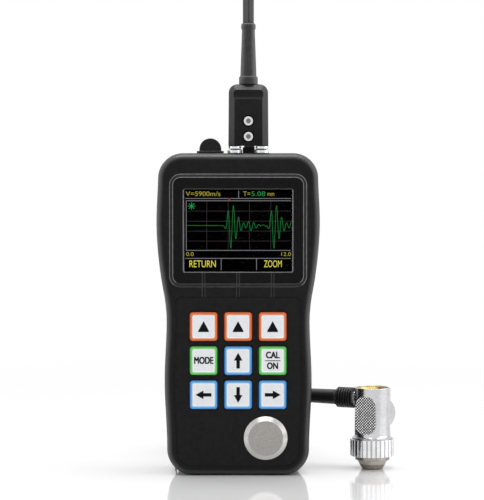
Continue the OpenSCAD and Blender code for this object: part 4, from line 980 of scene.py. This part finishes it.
def printed(name, colour, rough=0.4, gloss=0.3):
    made = finish(name, colour, rough, Specular_IOR_Level=gloss)
    made.cloud(1400, 3, (0.3, tuple(0.93 * c for c in colour)), (0.7, colour))
    made.polish(800, rough - 0.05, rough + 0.05)
    made.bump(made.speckle(2600, 2), 0.000008)
    return made


# Each key has its face colour, the painted shade of its rounding, and the colour of its paler inner rim.
key_tones = {
    name: (key_plastic(name, face, edge), key_plastic(name + "_inner", inner, inner))
    for name, face, edge, inner in (
        ("key_orange", (0.72, 0.14, 0.03), (0.3, 0.035, 0.008), (0.86, 0.28, 0.11)),
        ("key_green", (0.09, 0.5, 0.08), (0.012, 0.12, 0.012), (0.27, 0.76, 0.25)),
        ("key_blue", (0.07, 0.32, 0.72), (0.008, 0.045, 0.17), (0.25, 0.58, 0.95)))}
field_prints = (printed("field_white", (0.95, 0.95, 0.96)), printed("field_pale", (0.85, 0.86, 0.89)))
legend_ink = printed("legend_black", (0.006, 0.006, 0.007), 0.5, 0.05)
legend_y = -19.55
point_width = 0.02


def printed_arrow(x, z, turn):
    """A printed arrow, its shaft drawn out into a head and the head drawn to a point."""
    slab(1.6, 3.7, 0, 0, -1.75, 0.0, -0.02)
    pick("FACE", lambda co, n: n.z > 0.9)
    grow(z=0)
    stretch(x=4.0 / 1.6)
    grow(z=3.6)
    stretch(x=point_width)
    return put(done(), (x, legend_y, z), (0, turn, 0))


def printed_triangle(x, z):
    slab(4.9, 0.6, 0, x, z - 2.2, legend_y, legend_y - 0.02)
    pick("FACE", lambda co, n: n.z > 0.9)
    grow(z=4.4)
    stretch(x=point_width, about=(x, 0, 0))
    return done()


key_places = [(x, z) for z in reversed(key_rows) for x in key_columns]
for (x, z), (body, node_name, tone, legend) in zip(key_places, (
        ("soft_key_left", "key_soft_left", "key_orange", "triangle"),
        ("soft_key_middle", "key_soft_middle", "key_orange", "triangle"),
        ("soft_key_right", "key_soft_right", "key_orange", "triangle"),
        ("menu_key", "key_menu", "key_green", "mode"),
        ("up_key", "key_up", "key_blue", 0),
        ("power_key", "key_power", "key_green", "cal_on"),
        ("left_key", "key_left", "key_blue", -math.pi / 2),
        ("down_key", "key_down", "key_blue", math.pi),
        ("right_key", "key_right", "key_blue", math.pi / 2))):
    key_cap = again(master_key)
    key_cap.name = key_cap.data.name = body + "_cap"
    key_cap.data.transform(Matrix.Translation((x * mm, 0, z * mm)))
    for band, made in enumerate((*key_tones[tone], *field_prints)):
        key_cap.data.materials[band] = made.owner
    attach(key_cap, body)
    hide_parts(node_name)
    if legend == "triangle":
        mark = printed_triangle(x, z)
    elif legend == "mode":
        mark = words("MODE", 4.45, x, z, legend_y, 0.71, weight=0.15)
    elif legend == "cal_on":
        mark = gather([words("CAL", 4.2, x, z + 2.5, legend_y, 0.8, weight=0.15),
                       words("ON", 4.2, x, z - 2.5, legend_y, 0.78, weight=0.15),
                       block((x - 3.6, legend_y - 0.01, z - 0.19), (x + 3.6, legend_y + 0.01, z + 0.19))])
    else:
        mark = printed_arrow(x, z, legend)
    piece(mark, body + "_legend", body, legend_ink, tone, sharp=None)
bpy.data.objects.remove(master_key)

# The test disc is a nickelled steel disc of known thickness with a bevelled edge, pressed into its ring in
# the front half. The probe is set to zero on it.
nickel = finish("test_disc_nickel", (0.37, 0.355, 0.335), 0.34, Metallic=1.0)
out = nickel.node("VectorMath", "Vector", {0: nickel.places(shift=(-disc_x * mm, 0, -disc_z * mm)),
                                           1: (1, 0, 1)}, operation="MULTIPLY")
reach = nickel.node("VectorMath", "Value", {0: out}, operation="LENGTH")
# The bevel is painted brighter than the face, a painted highlight, and is also made smoother.
bevel_here = nickel.span(reach, 8.05 * mm, 8.15 * mm)
face_tone = nickel.ramp(nickel.speckle(1500), (0.3, (0.29, 0.277, 0.26)), (0.7, (0.37, 0.357, 0.335)))
nickel.drive("Base Color", nickel.mix(bevel_here, face_tone, (0.5, 0.485, 0.465, 1)))
nickel.drive("Roughness", nickel.span(bevel_here, 0, 1, 0.36, 0.2))
nickel.bump(nickel.speckle(2400, 2), 0.00002)
disc = turned([(disc_r, 0), (disc_r, 2.9), (disc_r - 0.08, 3.0), (disc_r - 2, 3.93), (8.1, 4.0), (3, 4.0)],
              (disc_x, -15.6, disc_z), (0, -1, 0), 96)
piece(disc, "test_disc", "gauge", nickel, "test_steel", "zero_disc", sharp=12)

# The case and the board are held by cross-recessed steel screws with domed heads. They are zinc-plated and
# driven into the columns of the front half.


def cross_screws(places, face_y, seat_y, end_y, head_r, shank_r):
    """Equal screws along Y at these (x, z) places. Their heads show at face_y."""
    rise = abs(seat_y - face_y)
    facing = 1 if face_y > seat_y else -1
    recess_low, recess_high = sorted((face_y - facing * rise * 0.65, face_y + facing))
    screws = []
    for x, z in places:
        screw = turned([(shank_r, -abs(end_y - seat_y)), (shank_r, 0), (head_r, 0), (head_r, rise * 0.55),
                        (head_r * 0.92, rise * 0.85), (head_r * 0.72, rise)], (x, seat_y, z),
                       (0, facing, 0), 40)
        cut(screw, bar(head_r * 0.5, (x, face_y - facing * rise * 0.2, z), (x, face_y + facing, z), 32))
        for a, b in ((head_r * 0.48, head_r * 0.12), (head_r * 0.12, head_r * 0.48)):
            cut(screw, block((x - a, recess_low, z - b), (x + a, recess_high, z + b)))
        screws.append(screw)
    return gather(screws)


screw_steel = plain_metal("screw_steel", (0.72, 0.72, 0.73), 0.2)
for name, places, sizes, node_name in (
        ("case_screw_set", screw_places, (2.4, 0, -13, 2.8, 1.45), "case_screws"),
        ("board_screw_set", post_places, (-9.4, -11, -16, 1.9, 0.95), "board_screws")):
    piece(cross_screws(places, *sizes), name, "gauge", screw_steel, "screw_steel", node_name)

# The plug is moulded in black nylon, in two halves that are screwed together. Its front and back are broad
# flats between long slopes, with a shallow hollow for the thumb near the top.
plug_x, plug_foot, plug_top, blank_foot = 4.8, 153.5, 182.3, 147.5
plug_w, plug_edge_y, plug_corner, shoulder_z = 18.9, 2.65, 4, 180
hollow_r, pin_hole_r, boot_hole_r, thread_r = 5, 2.52, 3.02, 1.02
plug_screws = ((plug_x, 157.8), (plug_x, 165.1))
plug_plastic = moulded("plug_black_nylon", (0.01, 0.01, 0.0105), 0.4, 2200, 0.00004, 0.1, 0.7)


def near_plug_screw(co, reach):
    return any(math.hypot(co.x - x, co.z - z) < reach for x, z in plug_screws)


for side, name, node_name in ((-1, "plug_front", "plug_front_half"), (1, "plug_back", "plug_rear_half")):
    slab(plug_w, plug_top - blank_foot, 0, plug_x, (plug_top + blank_foot) / 2, 0, side * plug_edge_y)
    pick("VERT", lambda co: co.z > shoulder_z)
    stretch(x=0.974, about=(plug_x, 0, 0))
    pick("EDGE", lambda co, n: abs(n.y) > 0.9 and co.z > shoulder_z)
    bpy.ops.mesh.bevel(offset=plug_corner * mm, segments=12, clamp_overlap=False)
    pick("FACE", lambda co, n: n.y * side > 0.9)
    for width, rise in ((0.12, 0.35), (0.2, 0.3), (2.3, 2.2), (0.28, 0.18), (0.2, 0.07)):
        step_in(width, rise)
    bpy.ops.mesh.select_all(action="SELECT")
    bpy.ops.mesh.bisect(plane_co=(0, 0, plug_foot * mm), plane_no=(0, 0, 1), clear_inner=True, use_fill=True)
    half = cut(done(), bar(hollow_r, (-8, side * 10.15, 177.7), (18, side * 10.15, 177.7), 96),
               gather([bar(pin_hole_r, (x, 0, 153), (x, 0, 161.5), 32) for x in socket_xs]),
               bar(boot_hole_r, (plug_x, 0, 179.3), (plug_x, 0, 183), 32))
    if side < 0:
        cut(half, bars(plug_screws, 2.75, -7, -4.75), bars(plug_screws, thread_r, -6, 1, 24))
    else:
        cut(half, bars(plug_screws, thread_r, -1, 2.9, 24))
    piece(half, name, "plug", plug_plastic, "plug_plastic", node_name, sharp=24)
    # The screw wells in the plug's front are painted near black: painted shade in the recess.
    also(half, moulded("screw_well_painted_shade", (0.002, 0.002, 0.002), 0.6, gloss=0.02, edge_gloss=0.05),
         lambda co, n: -5.6 < co.y < -4.5 and near_plug_screw(co, 2.85))
screws = cross_screws(plug_screws, -5.65, -4.75, 2.875, 2.3, 1.0)
piece(screws, "plug_screw_set", "plug", screw_steel, "screw_steel", "plug_screws")
# The cross recess of the plug's screws is painted dark: painted shade in the recess.
also(screws, plain_metal("recess_painted_shade_steel", (0.2, 0.2, 0.205), 0.4),
     lambda co, n: -5.6 < co.y < -4.4 and near_plug_screw(co, 1.2))

# Each of the plug's two pins is turned from brass and bright-plated. It is held between the plug's halves,
# and its collar meets the socket's ring.
for name, x, node_name in (("plug_pin_a", socket_xs[0], "plug_pin_left"),
                           ("plug_pin_b", socket_xs[1], "plug_pin_right")):
    pin = turned([(1.0, 149.9), (1.0, 144.6), (1.7, 144.5), (2.0, 144.9), (2.0, 152.15), (2.8, 152.15),
                  (3.1, 152.3), (3.1, 153.2), (2.9, 153.5), (2.5, 153.5), (2.5, 161.5)], (x, 0, 0), sides=48)
    piece(pin, name, "plug", bright_plate, "connector_metal", node_name)

# The boot over the lead is moulded in black rubber, with a foot ring, a long taper and a rounded top ring.
# Its root is held in the top of the plug.
boot = turned([(3.0, -3), (3.0, 0), (4.15, 0), (4.38, 0.2), (4.4, 0.5), (4.4, 3.1), (4.3, 3.4), (4.0, 3.6),
               (3.86, 3.8), (3.78, 4.2), (3.02, 25.2), (3.1, 25.6), (3.3, 25.9), (3.4, 26.4), (3.4, 27.5),
               (3.3, 28.1), (3.0, 28.5), (2.5, 28.7)], (plug_x, 0, plug_top), sides=72)
piece(boot, "plug_strain_relief", "plug", moulded("boot_rubber", (0.034, 0.034, 0.035), 0.46, 1500, 0.00004,
                                                  0.15, 1.0), "boot_rubber", "plug_boot", sharp=40)

# The probe's housing is turned from brass and satin-chromed: a tube with a flared foot, an open rim and two
# flats that carry the finger grips.
probe = (63.9, 6, 0)
grip_z = 25.99
grip_turn = (0, 0, math.radians(-27))
button_r = 8.24
grip_seat, grip_face = 8.2, 8.7
mouth_r, mouth_z, bore_r = 7.6, 34.8, 6.5
sleeve_way = outward_at(math.radians(154))
sleeve_z = 33.3
flare = [(9.6 - 1.1 * math.sin(math.radians(a)), 14.95 + 1.65 * (1 - math.cos(math.radians(a))))
         for a in range(15, 91, 15)]
housing = turned([(bore_r, 20.4), (bore_r, 11.4), (8.5, 11.4), (8.5, 14.4), (9.45, 14.4), (9.6, 14.55),
                  (9.6, 14.95), *flare, (8.5, 38.45), (8.4, 38.68), (8.2, 38.8), (7.75, 38.8),
                  (mouth_r, 38.6), (mouth_r, mouth_z)], (0, 0, 0), sides=96)


def grip_part(y_from, y_to):
    """The outline of the pad, drawn from one depth to another in front of the probe's middle."""
    return plate(10, 17.8, 4.2, 0, grip_z, -y_from, -y_to)


def button_part(y_from, y_to):
    return bar(button_r, (0, y_from, grip_z), (0, y_to, grip_z), 64)


add(housing, put(grip_part(0, grip_seat), turn=grip_turn), put(button_part(0, grip_seat), turn=grip_turn))
cut(housing, put(gather([grip_part(grip_seat, 9.5), button_part(grip_seat, 9.5)]), turn=grip_turn),
    bar(mouth_r, (0, 0, mouth_z), (0, 0, 45), 96), bar(bore_r, (0, 0, 10), (0, 0, 20.4), 64))
add(housing, bar(3.6, *(tuple(sleeve_way * r + Vector((0, 0, sleeve_z))) for r in (7.9, 9.1)), 48))
cut(housing, bar(2.2, (0.4, -10.6, 15.0), (0.4, -10.6, 17), 48))
chrome = finish("probe_satin_chrome", (0.58, 0.58, 0.59), 0.24, Metallic=1.0)
chrome.cloud(160, 4, (0.35, (0.54, 0.54, 0.555)), (0.65, (0.61, 0.61, 0.62)))
rings = chrome.node("TexNoise", "Fac", {"Vector": chrome.places(scale=(1, 1, 260)), "Scale": 30, "Detail": 2})
chrome.drive("Roughness", chrome.span(rings, 0.3, 0.7, 0.2, 0.3))
chrome.bump(rings, 0.000012)
piece(put(housing, probe), "probe_housing", "gauge", chrome, "probe_metal", "probe_body", sharp=26)

# The finger grips are a knurled pad in front and a plain round button behind. The knurl is real: rows of
# small four-sided points rolled into the metal.
bpy.ops.mesh.primitive_grid_add(x_subdivisions=23, y_subdivisions=23, size=22 * mm, location=(0, 0, 0))
bpy.ops.object.mode_set(mode="EDIT")
bpy.ops.mesh.select_all(action="SELECT")
bpy.ops.mesh.poke(offset=0.42 * mm)
bpy.ops.mesh.select_mode(type="EDGE")
bpy.ops.mesh.select_all(action="DESELECT")
bpy.ops.mesh.select_non_manifold()
grow(z=-0.6)
bpy.ops.mesh.edge_face_add()
knurl = put(done(), (0, -8.28, grip_z), (math.pi / 2, math.pi / 4, 0))
cut(knurl, grip_part(grip_seat, grip_face), kind="INTERSECT")
button = turned([(button_r, grip_seat), (button_r, 8.5), (8.1, 8.66), (7.8, grip_face)], (0, 0, grip_z),
                (0, 1, 0), 72)
grips = put(gather([knurl, button]), probe, grip_turn)
piece(grips, "probe_finger_grips", "gauge", chrome, "probe_knurl", "probe_grips", sharp=20)
grip_way = (math.sin(grip_turn[2]), -math.cos(grip_turn[2]), 0)
knurled = finish("knurled_chrome", (0.62, 0.62, 0.64), 0.22, Metallic=1.0)
# The knurl's valleys are painted dark and its tips bright: painted shade between the points and a painted
# highlight on them.
outward = knurled.node("VectorMath", "Value", {0: knurled.places(shift=(-probe[0] * mm, -probe[1] * mm, 0)),
                                               1: grip_way}, operation="DOT_PRODUCT")
knurled.drive("Base Color", knurled.ramp(knurled.span(outward, 8.28 * mm, 8.68 * mm), (0.15, 0.03),
                                         (0.5, 0.25), (0.9, 0.9)))
knurled.polish(900, 0.16, 0.3)
also(grips, knurled, lambda co, n: (co.x - probe[0]) * grip_way[0] + (co.y - probe[1]) * grip_way[1] > 0)

# The cup in the housing's open top is spun from thin brass and left bare. It is pressed in below the
# housing's rim and closes it.
cup = turned([(7.58, 34.8), (7.58, 38.2), (7.1, 38.2), (6.9, 38.0), (6.4, 36.4), (6.1, 36.2)], probe,
             sides=72)
brass = plain_metal("brass", (0.78, 0.52, 0.14), 0.28, 500, 0.00001, 0.7)
piece(cup, "probe_brass_cup", "gauge", brass, "probe_brass", "probe_insert")

# The collar nut is turned from brass, chromed, and fluted so that wet fingers can hold it. It clamps the
# nose to the housing.
flute_count, flute_r, flute_ring_r = 30, 0.5, 10.85
collar = turned([(10.15, 6.2), (10.5, 6.32), (10.65, 6.7), (10.65, 13.9), (10.5, 14.28), (10.15, 14.4)],
                (0, 0, 0), sides=126)
flutes = []
for i in range(flute_count):
    spot = flute_ring_r * outward_at(2 * math.pi * i / flute_count)
    flutes.append(bar(flute_r, (spot.x, spot.y, 5), (spot.x, spot.y, 16), 16))
cut(collar, gather(flutes), bar(6, (0, 0, 5), (0, 0, 16), 64), bar(8.52, (0, 0, 11.4), (0, 0, 16), 64))
collar_chrome = plain_metal("collar_chrome", (0.9, 0.9, 0.91), 0.22)
piece(put(collar, probe), "probe_collar_nut", "gauge", collar_chrome, "probe_metal", "probe_collar", sharp=26)
# The flutes' walls are painted darker chrome: painted shade in the flutes.
also(collar, plain_metal("flute_painted_shade_chrome", (0.5, 0.5, 0.51), 0.3),
     lambda co, n: abs(n.z) < 0.5 and 9 < math.hypot(co.x - probe[0], co.y - probe[1]) < 10.5)

# The nose is turned from nickel silver, with a bright rim above a stepped cone. The two-crystal face is
# potted inside it, split by a cork barrier.
nose = turned([(4.5, 0.15), (4.85, 0.15), (5.1, 0.3), (5.25, 0.6), (6.2, 2.3), (6.35, 2.45), (7.15, 4.2),
               (7.35, 4.3), (7.9, 4.3), (8.15, 4.4), (8.2, 4.65), (8.2, 6.2)], probe, sides=96)
cut(nose, bar(4.5, (*probe[:2], -1), (*probe[:2], 7), 64))
nickel_silver = plain_metal("nickel_silver", (0.37, 0.34, 0.305), 0.28)
piece(nose, "probe_nose_cone", "gauge", nickel_silver, "nose_nickel", "probe_nose", sharp=18)
also(nose, plain_metal("nickel_silver_polished", (0.56, 0.53, 0.48), 0.2),
     lambda co, n: 2.9 < co.z < 4.28 and abs(n.z) < 0.9)
dress(moulded("delay_resin", (0.09, 0.08, 0.065), 0.35), "probe_face")
dress(plain_metal("crystal_silvering", (0.7, 0.68, 0.6), 0.35), "probe_elements")
cork = finish("pressed_cork", (0.25, 0.15, 0.07), 0.8)
cork.cloud(1500, 5, (0.35, (0.12, 0.07, 0.03)), (0.65, (0.32, 0.2, 0.1)))
cork.bump(cork.speckle(1500, 5), 0.0001)
dress(cork, "probe_barrier")

# The sleeve that leads the cable into the probe is moulded in black rubber and pushed over the boss on the
# housing. Its root is ribbed so that it bends evenly.
rib_pitch = 1.3
ribs = [(4.6, 9.1), (4.9, 9.3), (4.9, 9.7)]
for i in range(6):
    ribs += [(r, 9.7 + rib_pitch * i + h) for r, h in (
        (4.7, 0.08), (3.95, 0.2), (3.95, 0.42), (4.7, 0.56), (4.88, 0.7), (4.9, 0.95), (4.88, 1.25))]
sleeve = turned(ribs + [(4.6, 17.7), (3.7, 18.5), (3.55, 19.5), (3.3, 36.6), (3.2, 37.4), (2.9, 37.7)],
                (probe[0], probe[1], sleeve_z), tuple(sleeve_way), 56)
sleeve_rubber = moulded("sleeve_rubber", (0.009, 0.009, 0.0095), 0.45, 1500, 0.00004, 0.15)
piece(sleeve, "probe_sleeve", "gauge", sleeve_rubber, "boot_rubber", "probe_boot", sharp=50)
